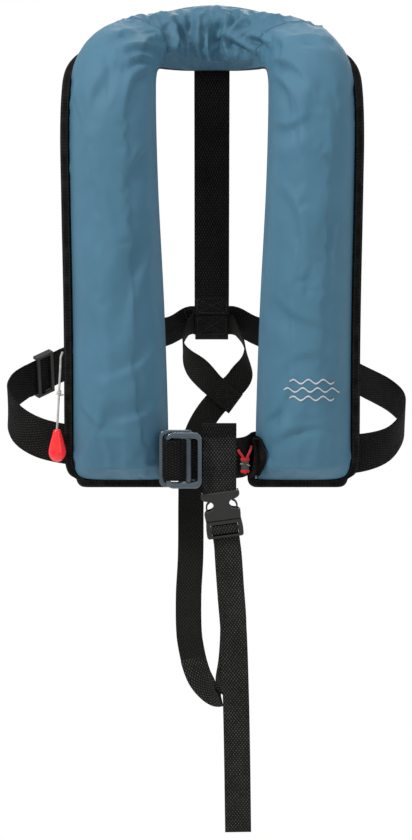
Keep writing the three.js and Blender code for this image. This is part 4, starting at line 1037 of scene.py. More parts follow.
def filled(grid, held, slack, cap, frames=20):
    """Swells a grid of cloth by a light pressure, holding some points; returns the moved grid."""
    rows, columns = grid.shape[:2]
    faces = [
        (i * columns + j, i * columns + j + 1, (i + 1) * columns + j + 1, (i + 1) * columns + j)
        for i in range(rows - 1)
        for j in range(columns - 1)
    ]
    cloth = new_object("cloth_to_fill", grid, faces)
    for label, weights in (("held", held), ("slack", slack)):
        group = cloth.vertex_groups.new(name=label)
        for k, w in enumerate(np.ravel(weights)):
            if w > 0:
                group.add([k], float(w), "REPLACE")
    cloth.modifiers.new("fill", "CLOTH")
    s = cloth.modifiers["fill"].settings
    s.quality = 6
    s.mass = 0.2
    s.tension_stiffness = s.compression_stiffness = 20
    s.shear_stiffness = 8
    s.bending_stiffness = 0.6
    s.vertex_group_mass = "held"
    s.vertex_group_shrink = "slack"
    s.shrink_min = -0.012
    s.shrink_max = -0.07
    s.use_pressure = True
    s.uniform_pressure_force = 3.5
    s.effector_weights.gravity = 0.0
    scene = bpy.context.scene
    cloth.modifiers["fill"].point_cache.frame_end = frames + 1
    for number in range(1, frames + 1):
        scene.frame_set(number)
    seen = cloth.evaluated_get(bpy.context.evaluated_depsgraph_get())
    moved = np.empty(len(seen.data.vertices) * 3)
    seen.data.vertices.foreach_get("co", moved)
    scene.frame_set(1)
    mesh = cloth.data
    bpy.data.objects.remove(cloth)
    bpy.data.meshes.remove(mesh)
    move = moved.reshape(grid.shape) / MM - grid
    size = np.linalg.norm(move, axis=2, keepdims=True)
    return grid + move * np.minimum(1, cap / np.maximum(size, 1e-9))


def normals_of(grid):
    return unit(np.cross(np.gradient(grid, axis=0), np.gradient(grid, axis=1)))


LOOK_SIN, LOOK_COS = 0.1736, 0.9848  # of the ten degrees by which the front view looks down


def seen_from_front(grid):
    """Where points lie in the front view: to the right and up, in millimetres."""
    return np.stack([grid[..., 0], LOOK_SIN * grid[..., 1] + LOOK_COS * grid[..., 2]], -1)


def folded(grid, normals, weight):
    """Presses the folds into a grid of cover cloth."""
    depth = np.zeros(grid.shape[:2])
    seen = seen_from_front(grid)
    for points, deep, wide in FOLDS:
        line = smooth_line([(x, 0.0, z) for x, z in points], np.linspace(0, 1, 15))[:, [0, 2]]
        best = np.full(depth.shape, 1e9)
        near, share = np.zeros(depth.shape), np.zeros(depth.shape)
        for k, (a, b) in enumerate(zip(line, line[1:])):
            way = b - a
            t = np.clip(((seen - a) @ way) / way.dot(way), 0, 1)
            gap = seen - (a + t[..., None] * way)
            off = np.linalg.norm(gap, axis=2)
            side = np.sign(way[0] * gap[..., 1] - way[1] * gap[..., 0])
            closer = off < best
            best = np.where(closer, off, best)
            near = np.where(closer, off * side, near)
            share = np.where(closer, (k + t) / (len(line) - 1), share)
        spread = np.where(near > 0, 0.42 * wide, wide)
        taper = np.sin(np.pi * np.clip(share, 0.03, 0.97)) ** 0.6
        valley = np.exp(-((near / spread) ** 2))
        ridge = 0.45 * np.exp(-(((np.abs(near) - 1.9 * spread) / spread) ** 2))
        depth += deep * taper * (valley - ridge)
    return grid - normals * (depth * weight)[..., None]


def doubled(grid):
    """Twice as many rows and columns, on a smooth surface through the old ones."""
    for axis in (0, 1):
        rows = np.moveaxis(grid, axis, 0)
        far = np.concatenate([2 * rows[:1] - rows[1:2], rows, 2 * rows[-1:] - rows[-2:-1]])
        between = (9 * (far[1:-2] + far[2:-1]) - far[:-3] - far[3:]) / 16
        mixed = np.empty((2 * len(rows) - 1, *rows.shape[1:]))
        mixed[::2], mixed[1::2] = rows, between
        grid = np.moveaxis(mixed, 0, axis)
    return grid


def make_wave_mark(full, facing):
    """A plain mark of three printed waves on the right lobe's cover."""
    points, normals = full.reshape(-1, 3), facing.reshape(-1, 3)
    seen = seen_from_front(points)
    front = (points[:, 1] < -130) & (points[:, 0] > 60)
    points, normals, seen = points[front], normals[front], seen[front]
    waves = ((-352, 84, 132), (-361, 78, 138), (-370, 84, 132))
    for number, (level, start, end) in enumerate(waves):
        x = np.linspace(start, end, 90)
        height = level + 2.2 * np.sin((x - start) * 2 * math.pi / 16)
        rows = []
        for side in (-0.9, 0.9):
            spots = np.stack([x, height + side], 1)
            gap = np.linalg.norm(seen[None] - spots[:, None], axis=2)
            near = np.argsort(gap, axis=1)[:, :6]
            weight = 1 / (np.take_along_axis(gap, near, 1) ** 2 + 0.5)
            weight /= weight.sum(1, keepdims=True)
            depth = (points[near][..., 1] * weight).sum(1)
            up = unit((normals[near] * weight[..., None]).sum(1))
            tall = (spots[:, 1] - LOOK_SIN * depth) / LOOK_COS
            rows.append(np.stack([x, depth, tall], 1) + up * 0.9)
        front_grid = np.stack(rows, 1)
        print_piece = shell(f"printed_wave_{number + 1}", front_grid, front_grid + (0, 0.5, 0))
        finished(print_piece, "white_print", None)


def smooth_share(x):
    x = np.clip(x, 0, 1)
    return x * x * (3 - 2 * x)


def over_crown(v):
    """Distances over a cover's crown at the places v across it, in millimetres."""
    return distances(np.stack([v * 100, 52 * crown_shape(v)], 1))


def make_covers(cloth):
    """The puffed front covers of both lobes and the rumpled collar between them."""
    step = cloth.grid / MM
    numbers = [
        even_numbers(0, SEAM, step),
        even_numbers(SEAM, LAST - SEAM, step),
        even_numbers(LAST - SEAM, LAST, step),
    ]
    every = np.concatenate([numbers[0], numbers[1][1:], numbers[2][1:]])
    v_fine = np.linspace(0, 1, 400)
    gone = over_crown(v_fine)
    v = np.interp(np.linspace(0, gone[-1], 40), gone, v_fine)[None]
    # the seams slant: towards the outer edge they lie further down the lobes
    slant = smooth_share(v / 0.8)
    moved = np.repeat(every[:, None], v.shape[1], 1)
    for seam, amount in ((SEAM, -cloth.left_slant), (LAST - SEAM, cloth.right_slant)):
        moved = moved + amount * slant * np.exp(-(((every - seam) / 1.5) ** 2))[:, None]
    grid = np.empty((len(every), v.shape[1], 3))
    outs, acrosses = np.empty_like(grid), np.empty_like(grid)
    for column in range(v.shape[1]):
        sections = Sections(np.clip(moved[:, column], 0, LAST))
        place = v[:, column : column + 1]
        rise = sections.crown[:, None] * crown_shape(place)
        grid[:, column] = sections.at(np.repeat(place, len(every), 0), rise)[:, 0]
        outs[:, column], acrosses[:, column] = sections.out, unit(sections.across)
    lift = np.interp(MIDDLE - np.abs(moved - MIDDLE), *np.array(COLLAR_LIFT).T)
    lift = lift * smooth_share((v - 0.12) / 0.5)
    grid = grid + (acrosses * 0.85 + outs * 0.25) * lift[..., None]
    facing = normals_of(grid)
    if (facing * outs).sum() < 0:
        facing = -facing
    collar = np.clip(1 - (np.abs(every - MIDDLE) - (MIDDLE - SEAM)) / 1.2, 0, 1)[:, None]
    ends = np.clip(np.minimum(every, LAST - every)[:, None] / 0.9, 0, 1)
    edge = np.clip(np.minimum(v, 1 - v) * 9, 0, 1) * ends

    rumple = 1.5 * grain(grid * (1.0, 0.55, 0.55), 15, 3) + 0.8 * grain(grid, 8, 5)
    billow = 0.9 * grain(grid * (1.6, 1, 0.8), 40, 7) + 0.45 * grain(grid * (1.5, 1, 1), 17, 9)
    start = grid + facing * ((collar * rumple + (1 - collar) * billow) * edge)[..., None]
    held = np.zeros(grid.shape[:2])
    held[:, [0, -1]] = 1
    held[[0, -1]] = 1
    full = filled(start, held, np.repeat(collar, grid.shape[1], 1), cloth.swell / MM)
    full, facing = doubled(full), unit(doubled(facing))
    edge, collar = (
        doubled(np.repeat(x, grid.shape[1] // x.shape[1], 1)[..., None])[..., 0]
        for x in (edge, collar)
    )
    edge = np.clip(edge, 0, 1)
    full = folded(full, facing, edge)
    crumple = 1 - np.abs(grain(full * (1.2, 0.6, 0.6), 13, 15)) / 0.5
    full = full + facing * (2.4 * collar * np.clip(crumple, -1, 1) ** 3 * edge)[..., None]

    middle = full.shape[1] // 2
    seam_rows = (2 * len(numbers[0]) - 2, 2 * (len(numbers[0]) + len(numbers[1])) - 4)
    gone = distances(full[:, middle])
    beside = np.minimum(*(np.abs(gone - gone[r]) for r in seam_rows))
    groove = 1.1 * np.exp(-((beside / 2.4) ** 2))
    pucker = 0.5 * np.exp(-((beside / 9) ** 2))[:, None] * grain(full, 5, 11)
    inside = (edge > 0) * np.clip(edge + 0.3, 0, 1)
    full = full - facing * ((groove[:, None] + pucker) * inside)[..., None]

    fine = np.interp(np.linspace(0, 1, full.shape[1]), np.linspace(0, 1, v.shape[1]), v[0])
    lay = lay_of(full, over_crown(fine)[None], gone)
    spans = [(0, seam_rows[0] + 1), (seam_rows[0], seam_rows[1] + 1), (seam_rows[1], len(full))]
    names = [
        ("left_cover_cloth", "left_front_cover", "cover_cloth"),
        ("collar_cloth", "neck_cover", "collar_cloth"),
        ("right_cover_cloth", "right_front_cover", "cover_cloth"),
    ]
    for (low, high), (name, node, material) in zip(spans, names):
        part, inward = full[low:high], facing[low:high]
        piece = shell(name, part, part - inward * 1.1, lay[low:high])
        finished(piece, material, "cover_fabric", node)

    thread = Thread(0.36, 2.4, 3.3)
    for row in (seam_rows[0] - 2, seam_rows[1] + 2):
        normals = facing[row, 1:-1]
        thread.row(full[row, 1:-1] + normals * 0.1, normals)
    finished(thread.solid("cover_seam_stitches"), "blue_thread", "cover_fabric")
    make_wave_mark(full, facing)


# ---------------------------------------------------------------- panels, binding and tapes


def lobe_numbers(side, step):
    numbers = even_numbers(0, SEAM - LAP, step)
    return numbers if side < 0 else LAST - numbers


def panel_grids(side, step=5.0):
    """Front and back of a lobe's back panel, out under the binding and down below the cover."""
    sections = Sections(lobe_numbers(side, step))
    v = np.repeat(np.linspace(0, 1, 21)[None], len(sections.width), 0)
    v = np.concatenate([v, 1 + BINDING_WIDTH / sections.width[:, None]], 1)
    grids = []
    for up in (-PANEL_GAP, -PANEL_GAP - PANEL):
        grid = sections.at(v, np.full(v.shape, up))
        hem = grid[0] + np.array((0.0, 0.0, -BINDING_WIDTH))
        hem[-1] = grid[0][-2] + np.array((side * 6.5, 0, -6.5))
        grids.append(np.concatenate([hem[None], grid]))
    return grids


def make_panels():
    """The lining on the wearer's side: two lobes, the collar and the belt tunnels."""
    for side, word in ((-1, "left"), (1, "right")):
        front, back = panel_grids(side)
        soft = 0.35 * grain(front, 22, 13 + side) + 0.2 * grain(front, 9, 15 + side)
        fade = np.ones(front.shape[:2])
        fade[[0, 1, -1]] = 0
        fade[:, [0, -1, -2]] = 0
        back = back + (soft * fade)[..., None] * np.array((0.0, 1.0, 0.0))
        skip = None
        if side < 0:
            middle = (front[:-1, :-1] + front[1:, 1:]) / 2
            skip = (np.abs(middle[..., 2] + 304) < 4.4) & (middle[..., 0] < -128)
        lay = lay_of(front, np.abs(front[..., 0]), distances(front[:, 10]))
        panel = shell(f"{word}_lining", front, back, lay, skip)
        finished(panel, "lining_cloth", "lining_fabric", f"{word}_back_panel")

    numbers = even_numbers(SEAM + LAP, LAST - SEAM - LAP, 4.5)
    sections = Sections(numbers)
    v = np.repeat(np.linspace(0, 1, 15)[None], len(numbers), 0)
    share = np.maximum(1 - np.abs(numbers - MIDDLE) / (MIDDLE - SEAM), 0)[:, None]
    bow = 11 * np.sin(np.pi * v) * np.sqrt(share)
    front = sections.at(v, -PANEL_GAP - bow)
    back = sections.at(v, -PANEL_GAP - PANEL - bow)
    wrinkle = 0.5 * grain(front, 14, 21) * np.sin(np.pi * v)
    back = back - sections.out[:, None] * np.abs(wrinkle)[..., None]
    lay = lay_of(front, v * 70, distances(front[:, 7]))
    panel = shell("collar_lining", front, back, lay)
    finished(panel, "lining_cloth", "lining_fabric", "neck_back_panel")

    for x, z, word in ((-112, -414, "left"), (112, -418, "right")):
        line = [(x, -109.2, z + 37), (x, -105.2, z + 33), (x, -104.2, z + 27)]
        line += [(x, -104.2, z - 27), (x, -105.2, z - 33), (x, -109.2, z - 37)]
        strap = Strap(line, [(1, 0, 0)] * 6, 66, 0.9, 2.4)
        tunnel = strap.solid(f"{word}_tunnel_cloth", 17, 0.25, 23)
        finished(tunnel, "lining_cloth", "lining_fabric", f"{word}_belt_tunnel")


def edge_line(side, step=3.0):
    """A lobe's bound edge, down the outside and in along the bottom: points and outward ways."""
    numbers = even_numbers(0, 11.9 if side < 0 else 12.5, step)
    sections = Sections(numbers if side < 0 else LAST - numbers)
    points = sections.at(np.ones((len(numbers), 1)), 0.0)[::-1, 0]
    ways = unit(sections.across)[::-1]
    ups = sections.out[::-1]
    corner = points[-1]
    bottom = sections.inner[0]
    turn = []
    for a in np.linspace(0, 90, 7)[1:-1]:
        c, s = math.cos(math.radians(a)), math.sin(math.radians(a))
        turn.append((side * c, 0.0, -s))
    across = [corner + (bottom - corner) * t for t in np.linspace(0.02, 1, 34)]
    points = np.vstack([points, [corner] * len(turn), across])
    ways = np.vstack([ways, turn, [(0, 0, -1)] * len(across)])
    if side > 0:  # this one also turns up the inner edge to the belt's way out
        quarter = np.linspace(0, math.pi / 2, 7)[1:]
        round_again = [(-math.sin(a), 0.0, -math.cos(a)) for a in quarter]
        rise = [bottom + np.array((0, 0, t)) for t in np.linspace(1.5, 9, 6)]
        points = np.vstack([points, [bottom] * len(round_again), rise])
        ways = np.vstack([ways, round_again, [(-1, 0, 0)] * len(rise)])
    ups = np.vstack([ups, [ups[-1]] * (len(points) - len(ups))])
    return points, ways, ups


def make_bindings():
    """Ribbed tape folded over the lobes' outer edges and sewn down."""
    section = [
        (0.3, 2.5), (0.9, 3.1), (3.0, 3.35), (6.0, 3.4), (8.4, 3.1), (9.4, 2.2), (9.75, 0.6),
        (9.7, -1.2), (9.2, -2.35), (8.2, -2.75), (5.0, -2.85), (2.2, -2.8), (1.6, -2.5),
        (2.2, -2.25), (6.0, -2.3), (8.6, -2.2), (9.1, -1.4), (9.15, -0.5), (8.6, -0.1), (4.0, 0.0),
        (0.8, 0.05), (0.3, 0.6),
    ]
    thread = Thread(0.36, 2.4, 3.4)
    for side, word in ((-1, "left"), (1, "right")):
        points, ways, ups = edge_line(side)
        gone = distances(points + ways * 6)
        wave = 0.35 * grain(points + ways * 5, 7.5, 31 + side)
        wave = wave + 0.25 * grain(points, 3.2, 33 + side)
        level = np.full(len(points), 1.0)
        rings, lay = [], []
        for away, up in section:
            front = 1.0 if up > 1 else 0.2
            lift = up + wave * front
            rings.append(points + ways * away + ups * lift[:, None])
            lay.append(np.column_stack([level * (away - up), gone, level * up]))
        rings, lay = (np.stack(g, 1) for g in (rings, lay))
        tape = skin(f"{word}_edge_tape", rings, lay)
        subdivided(tape)
        finished(tape, "binding_tape", "binding_tape", f"{word}_binding")
        for away, up in ((1.9, 3.15), (7.5, 3.25)):
            thread.row(points + ways * away + ups * up, ups)
    finished(thread.solid("binding_stitches"), "black_thread", "binding_tape")


def make_exit_facing():
    """The dark facing round the place where the belt leaves the right lobe, with its rolled lip."""
    table = np.array(FACING, float)
    numbers = np.linspace(table[0, 0], table[-1, 0], 40)
    lip_x, lip_y, reach = (np.interp(numbers, table[:, 0], table[:, k]) for k in (1, 2, 3))
    smooth = np.ones(5) / 5
    lip_x, lip_y, reach = (
        np.convolve(np.pad(row, 2, "edge"), smooth, "valid") for row in (lip_x, lip_y, reach)
    )
    sections = Sections(LAST - numbers)
    v = np.linspace(0.4, 1, 14)[None] * reach[:, None]
    rise = sections.crown[:, None] * crown_shape(v)
    aside = unit(sections.across)[:, None]
    grids = []
    for off in (1.7, 0.5):
        over = sections.at(v, rise + off) - aside * off
        t = np.linspace(0, 1, 7)[None, :-1, None]
        lip = np.stack([lip_x, lip_y - off, sections.inner[:, 2]], 1)[:, None]
        bulge = np.sin(np.pi * t) * np.array((0.0, -1.6, 0.0))
        grids.append(np.concatenate([lip + (over[:, :1] - lip) * t + bulge, over], 1))
    crumple = 0.5 * grain(grids[0], 9, 71) + 0.3 * grain(grids[0], 4, 73)
    grids[0][..., 1] -= np.abs(crumple)
    across = np.linspace(0, 22, grids[0].shape[1])[None]
    lay = lay_of(grids[0], across, distances(grids[0][:, 0]))
    facing = shell("belt_exit_facing", *grids, lay)
    subdivided(facing)
    finished(facing, "binding_tape", "binding_tape", "right_corner_patch")
    rim = np.vstack([grids[0][1:-1, -1], grids[0][-2:0:-1, 0]])
    piping, _ = tube("belt_exit_piping", rim, 0.9, 8, 1.2)
    finished(piping, "binding_tape", "binding_tape")


def make_inside_cloth():
    """The folded bladder and the hook and loop closure, out of sight inside the covers."""
    numbers = even_numbers(0.95, LAST - 0.95, 6)
    sections = Sections(numbers)
    v = np.repeat(np.linspace(0.17, 0.71, 22)[None], len(numbers), 0)
    z = sections.inner[:, 2]
    fill = np.where((z > -375) & (z < -120), 0.16, 0.56)
    fill = np.convolve(np.pad(fill, 4, "edge"), np.ones(9) / 9, "valid")
    pleats = 0.9 * np.cos(v * 2 * np.pi * 11)
    fold = grain(sections.at(v, 0.0), 30, 41)
    rise = 3 + fill[:, None] * (sections.crown[:, None] - 2.4) * crown_shape(v) + pleats - 1 + fold
    front = sections.at(v, np.maximum(rise, 3.0))
    back = sections.at(v, 2.6)
    lay = lay_of(front, v * 100, distances(front[:, 11]))
    bladder = shell("bladder_folded", front, back, lay)
    finished(bladder, "bladder_cloth", "bladder_fabric", "bladder")

    for side, word in ((-1, "left"), (1, "right")):
        for kind, up in (("hook", 0.8), ("loop", 2.0)):
            low, high = np.linspace(0, SEAM - LAP, 20)[[3, 16]]
            numbers = even_numbers(low, high, 4)
            sections = Sections(numbers if side < 0 else LAST - numbers)
            outside = (1 - 11 / sections.width)[:, None]
            v = outside - np.linspace(9, 0, 7)[None] / sections.width[:, None]
            top = 0.9 + 0.12 * grain(sections.at(v, 0.0), 2.5, 43)
            back = sections.at(v, np.full(v.shape, up))
            tape = shell(f"{word}_{kind}_pile", sections.at(v, up + top), back)
            finished(tape, "pile_tape", "closure_tape", f"{word}_{kind}_tape")


# ---------------------------------------------------------------- straps


def make_belts(straps):
    """The waist belt's two halves, the strap up the back and the loop that joins them."""
    width = straps.belt_width / MM
    left = Strap(LEFT_BELT, LEFT_LEAN, width, 1.6)
    right = Strap(RIGHT_BELT, RIGHT_LEAN, width, 1.6)
    back_width = straps.back_width / MM
    level = [(1, 0, 0)]
    back = Strap(BACK_STRAP, level * len(BACK_STRAP), back_width, 1.8)
    loop = Strap(BACK_LOOP, level * len(BACK_LOOP), back_width - 1, 1.5, 2)
    pieces = {"left_belt": left, "right_belt": right, "back_strap": back, "back_loop": loop}
    for seed, (node, strap) in zip((51, 53, 55, 57), pieces.items()):
        webbing = strap.solid(f"{node}_webbing", seed=seed)
        finished(webbing, "belt_webbing", "webbing", node)

    thread = Thread(0.42, 2.4, 3.4)
    end = back.gone[-1]
    for up in (1.05, -1.05):
        thread.box(back, end - 26, end - 3, 3, up)
        thread.box(left, left.gone[-1] - 10, left.gone[-1] - 2, 3, up, crossed=False)
    thread.box(loop, 3, 30, 3, 0.9)
    total = loop.gone[-1]
    thread.box(loop, total - 30, total - 3, 3, 0.9)
    thread.box(right, 2, 9, 3, 0.95, crossed=False)
    thread.box(left, 2, 6, 3, -0.95, crossed=False)
    finished(thread.solid("belt_stitches"), "black_thread", "webbing")


def make_hanger(straps):
    """The wide loop that hangs on the belt and holds the clip."""
    strap = Strap(HANGER, HANGER_LEAN, straps.hanger_width / MM, 1.3, 2.4)
    finished(strap.solid("hanger_webbing", 13, seed=61), "hanger_webbing", "webbing", "hanger_loop")
    thread = Thread(0.42, 2.3, 3.2)
    outer = 0.75 if strap.face[5][1] < 0 else -0.75
    for gone in (6.0, 27.0, 29.6):
        off = np.linspace(-16.5, 16.5, 20)
        spots = np.full(off.shape, gone)
        line = strap.spot(spots, off, outer)
        thread.row(line, line - strap.spot(spots, off, 0.0))
    finished(thread.solid("hanger_stitches"), "black_thread", "webbing")
    level = [(1, 0, 0)]
    fold = [(-148.9, -378.2), (-150.2, -377.2), (-151.5, -378.4), (-151.7, -384), (-151.2, -390.4)]
    fold = [(HANGER_X - 0.4, y, z) for y, z in fold]
    tab = Strap(fold, level * len(fold), straps.hanger_width / MM + 0.8, 1.5, 1.2)
    finished(tab.solid("hanger_top_fold", 13, seed=62), "belt_webbing", "webbing")


def make_crotch_strap(straps):
    """The crotch strap: its crossed loop at the back, its turn and its free end in front."""
    width = straps.crotch_width / MM
    line, lean = CROTCH_BACK + CROTCH_FRONT, CROTCH_BACK_LEAN + CROTCH_FRONT_LEAN
    turn = len(CROTCH_BACK)
    back = Strap(line[: turn + 1], lean[: turn + 1], width, 1.4, 3.0)
    front = Strap(line[turn - 1 :], lean[turn - 1 :], width + 0.3, 1.6, 3.0)
    rear = back.solid("crotch_strap_rear_webbing", seed=63)
    # the rear leg wears the darker copy of the strap's webbing, a painted shade
    finished(rear, "rear_webbing", "webbing", "crotch_strap_back", body=None)
    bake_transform(rear)
    forward = front.solid("crotch_strap_front_webbing", seed=65)
    finished(forward, "strap_webbing", "webbing", "crotch_strap_front", body="plug")

    thread = Thread(0.42, 2.4, 3.3)
    for up in (0.85, -0.85):
        thread.box(back, 2.5, 24, 3, up)
    finished(thread.solid("crotch_loop_stitches"), "black_thread", "webbing")
    hem = Thread(0.42, 2.4, 3.3)
    total = front.gone[-1]
    for up in (0.85, -0.85):
        hem.box(front, total - 14, total - 3, 3, up, crossed=False)
    finished(hem.solid("crotch_end_stitches"), "black_thread", "webbing", body="plug")


# ---------------------------------------------------------------- hardware


def rounded_outline(width, height, radius, steps=9, straight=6):
    """A rounded rectangle round the origin as (x, z) points, evenly numbered at its corners."""
    points = []
    for sx, sz, start in ((1, -1, -90), (1, 1, 0), (-1, 1, 90), (-1, -1, 180)):
        cx, cz = sx * (width / 2 - radius), sz * (height / 2 - radius)
        corner = [
            (
                cx + radius * math.cos(math.radians(start + 90 * k / (steps - 1))),
                cz + radius * math.sin(math.radians(start + 90 * k / (steps - 1))),
            )
            for k in range(steps)
        ]
        points.append(corner)
    outline = []
    for here, after in zip(points, points[1:] + points[:1]):
        outline += here
        a, b = np.array(here[-1]), np.array(after[0])
        outline += [tuple(a + (b - a) * k / straight) for k in range(1, straight)]
    return np.array(outline)


def steel_frame(name, centre, width, height, left, right, ends, thick=4.2):
    """A forged frame with a rounded section round its window."""
    outer = rounded_outline(width, height, 8)
    inner = rounded_outline(width - left - right, height - 2 * ends, 3.2)
    inner = inner + np.array(((left - right) / 2, 0))
    angles = np.linspace(0, 2 * math.pi, 24, endpoint=False)
    round_off = lambda x: np.sign(x) * np.abs(x) ** 0.62
    across, deep = round_off(np.cos(angles)), round_off(np.sin(angles)) * thick / 2
    middle, half = (outer + inner) / 2, (outer - inner) / 2
    flat = middle[:, None] + half[:, None] * across[None, :, None]
    rings = np.stack([flat[..., 0], np.broadcast_to(deep, flat.shape[:2]), flat[..., 1]], -1)
    return subdivided(skin(name, rings + np.array(centre), looped=True))


def make_steel():
    """The steel slide, its knurled bar and the ring that hooks into it."""
    slide = steel_frame("slide_buckle_frame", (-30.8, -158.4, -416.6), 39.5, 62.5, 4.6, 5, 7)
    finished(slide, "steel", "steel", "slide_buckle", body="slide")
    ring = steel_frame("buckle_ring_frame", (-38.5, -150, BELT_Z), 39.5, 64, 5.6, 5.4, 6)
    finished(ring, "steel", "steel", "buckle_ring", body="ring")

    half, sides, rows = 23.8, 60, 150
    heights = np.linspace(-half, half, rows)
    angles = np.linspace(0, 2 * math.pi, sides, endpoint=False)
    turns, pitch = 20, 1.9
    a, z = np.meshgrid(angles, heights)
    right, left = (np.sin((a * turns + way * z * 2 * math.pi / pitch) / 2) for way in (1, -1))
    knurl = np.abs(right) * np.abs(left)
    plain = np.abs(z) > half - 2.2
    radius = np.where(plain, 2.9, 3.0 + 0.45 * knurl)
    rings = np.stack([radius * np.cos(a), radius * np.sin(a), z], -1)
    bar = skin("knurled_bar_turned", rings + np.array((-25.8, -158.4, -416.6)))
    finished(bar, "dark_steel", "steel", "knurled_bar", body="slide")


SHOWN_CAD = {
    "clip_socket": "black_plastic", "clip_base": "black_plastic", "left_prong": "black_plastic",
    "right_prong": "black_plastic", "side_adjuster": "black_plastic", "auto_cap": "black_plastic",
    "bladder_manifold": "black_plastic", "manifold_nut": "black_plastic",
    "oral_tube_flange": "black_plastic", "valve_poppet": "black_plastic",
    "inflator_head": "yellow_plastic", "firing_lever": "yellow_plastic",
    "gas_cylinder": "cylinder_steel", "cylinder_gasket": "rubber", "firing_pin": "dark_steel",
    "lever_pin": "dark_steel", "hammer_spring": "dark_steel", "hammer_pin": "dark_steel",
    "lever_clip": "green_plastic", "water_bobbin": "pressed_salt",
    "oral_valve_body": "orange_plastic", "dust_cap": "orange_plastic", "whistle": "orange_plastic",
}


def make_fittings():
    """The moulded and turned parts: each keeps its shape and gets softened edges and a finish."""
    for node, material in SHOWN_CAD.items():
        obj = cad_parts[node]
        obj.data.materials.clear()
        obj.data.materials.append(PALETTE[material])
        soft = obj.modifiers.new("soft_edges", "BEVEL")
        soft.width = 0.35 * MM
        soft.segments = 2
        soft.limit_method, soft.angle_limit = "ANGLE", math.radians(32)
        soft.harden_normals = True
        for polygon in obj.data.polygons:
            polygon.use_smooth = True

    profile = [(5.2, 0.3), (6.9, 0.3), (7.0, 4)]
    for z in range(6, 102, 4):
        profile += [(6.95, z), (6.75, z + 2)]
    profile += [(6.9, 104.6), (5.2, 104.6)]
    oral = lathe("oral_tube_hose", profile, (112, -141, -330), 36, 2)
    finished(oral, "bladder_cloth_plain", "bladder_fabric", "oral_tube")


# ---------------------------------------------------------------- finishes


def mix_finishes(scene):
    """Mixes every finish from the colours in the settings."""
    cloth, straps, hard = scene.jacket_cloth, scene.jacket_straps, scene.jacket_hardware
    PALETTE.clear()
    recipes = {
        "cover_cloth": (cloth_finish, tuple(cloth.cover), 0.9, 0.46, 0.0),
        "collar_cloth": (cloth_finish, tuple(cloth.collar), 0.9, 0.34, 0.0),
        "lining_cloth": (cloth_finish, tuple(cloth.lining), 1.6, 0.8, 0.25, 0.6),
        "binding_tape": (tape_finish, tuple(cloth.binding)),
        "pile_tape": (pile_finish, (0.008, 0.008, 0.008)),
        "bladder_cloth": (cloth_finish, (0.8, 0.55, 0.03), 0.9, 0.5, 0.1),
        "bladder_cloth_plain": (plastic_finish, (0.8, 0.55, 0.03), 0.5),
        "belt_webbing": (webbing_finish, tuple(straps.belt), "rows", 9.0),
        # the rear leg's copy of the crotch strap's webbing, with fewer light yarns: painted shade,
        # darker because that leg hangs in the jacket's shadow
        "rear_webbing": (webbing_finish, tuple(straps.strap), "plain", 3.0),
        "strap_webbing": (webbing_finish, tuple(straps.strap), "plain", 9.0),
        "hanger_webbing": (webbing_finish, tuple(straps.hanger), "plain", 9.0),
        "black_thread": (braid_finish, (0.02, 0.02, 0.02), 0.42),
        "blue_thread": (braid_finish, shade(tuple(cloth.cover), 0.8), 0.36),
        "white_braid": (braid_finish, (0.8, 0.77, 0.7), 1.2),
        "red_braid": (braid_finish, (0.75, 0.010, 0.018), 1.4),
        # the steel and dark steel finishes take the buckle colour, with its painted reflection of
        # dark surroundings
        "steel": (steel_finish, tuple(hard.steel), 0.22),
        "dark_steel": (steel_finish, shade(tuple(hard.steel), 0.8), 0.3),
        "cylinder_steel": (steel_finish, (0.3, 0.33, 0.35), 0.35),
        "black_plastic": (plastic_finish, tuple(hard.plastic), 0.34),
        "white_print": (plastic_finish, (0.72, 0.74, 0.75), 0.6),
        "grey_plastic": (plastic_finish, shade(tuple(hard.plastic), 2.2), 0.5),
        # the red handle gets a painted glow by emission, so it looks brighter than the lights make it
        "red_gloss": (plastic_finish, tuple(hard.handle), 0.25, 300, 0.6, 0.05, 0.35),
        "yellow_plastic": (plastic_finish, (0.74, 0.44, 0.015), 0.4),
        "green_plastic": (plastic_finish, (0.03, 0.32, 0.07), 0.45),
        "orange_plastic": (plastic_finish, (0.8, 0.13, 0.02), 0.42),
        "pressed_salt": (plastic_finish, (0.87, 0.86, 0.8), 0.85, 2200),
        "rubber": (plastic_finish, (0.01, 0.01, 0.01), 0.8),
    }
    for name, (mix, *settings) in recipes.items():
        PALETTE[name] = mix(name, *settings)


# ---------------------------------------------------------------- operators


class JACKET_OT_stage(bpy.types.Operator):
    """Set up the camera, the pale floor, the soft lights and every finish"""

    bl_idname = "jacket.stage"
    bl_label = "Stage and finishes"

    def execute(self, context):
        make_stage(context.scene.jacket_stage)
        mix_finishes(context.scene)
        return {"FINISHED"}


class JACKET_OT_pull_cord(bpy.types.Operator):
    """Make the pull cord with its knot and handle"""

    bl_idname = "jacket.pull_cord"
    bl_label = "Pull cord"

    def execute(self, context):
        make_pull_cord()
        return {"FINISHED"}


class JACKET_OT_small_cords(bpy.types.Operator):
    """Make the inner cord, the whistle's lanyard and the soft loop"""

    bl_idname = "jacket.small_cords"
    bl_label = "Small cords"

    def execute(self, context):
        make_inner_cords()
        return {"FINISHED"}


class JACKET_OT_covers(bpy.types.Operator):
    """Fill the covers of both lobes and of the collar"""

    bl_idname = "jacket.covers"
    bl_label = "Covers"

    def execute(self, context):
        make_covers(context.scene.jacket_cloth)
        return {"FINISHED"}


class JACKET_OT_panels(bpy.types.Operator):
    """Make the lining and the belt tunnels on the wearer's side"""

    bl_idname = "jacket.panels"
    bl_label = "Back panels"

    def execute(self, context):
        make_panels()
        return {"FINISHED"}


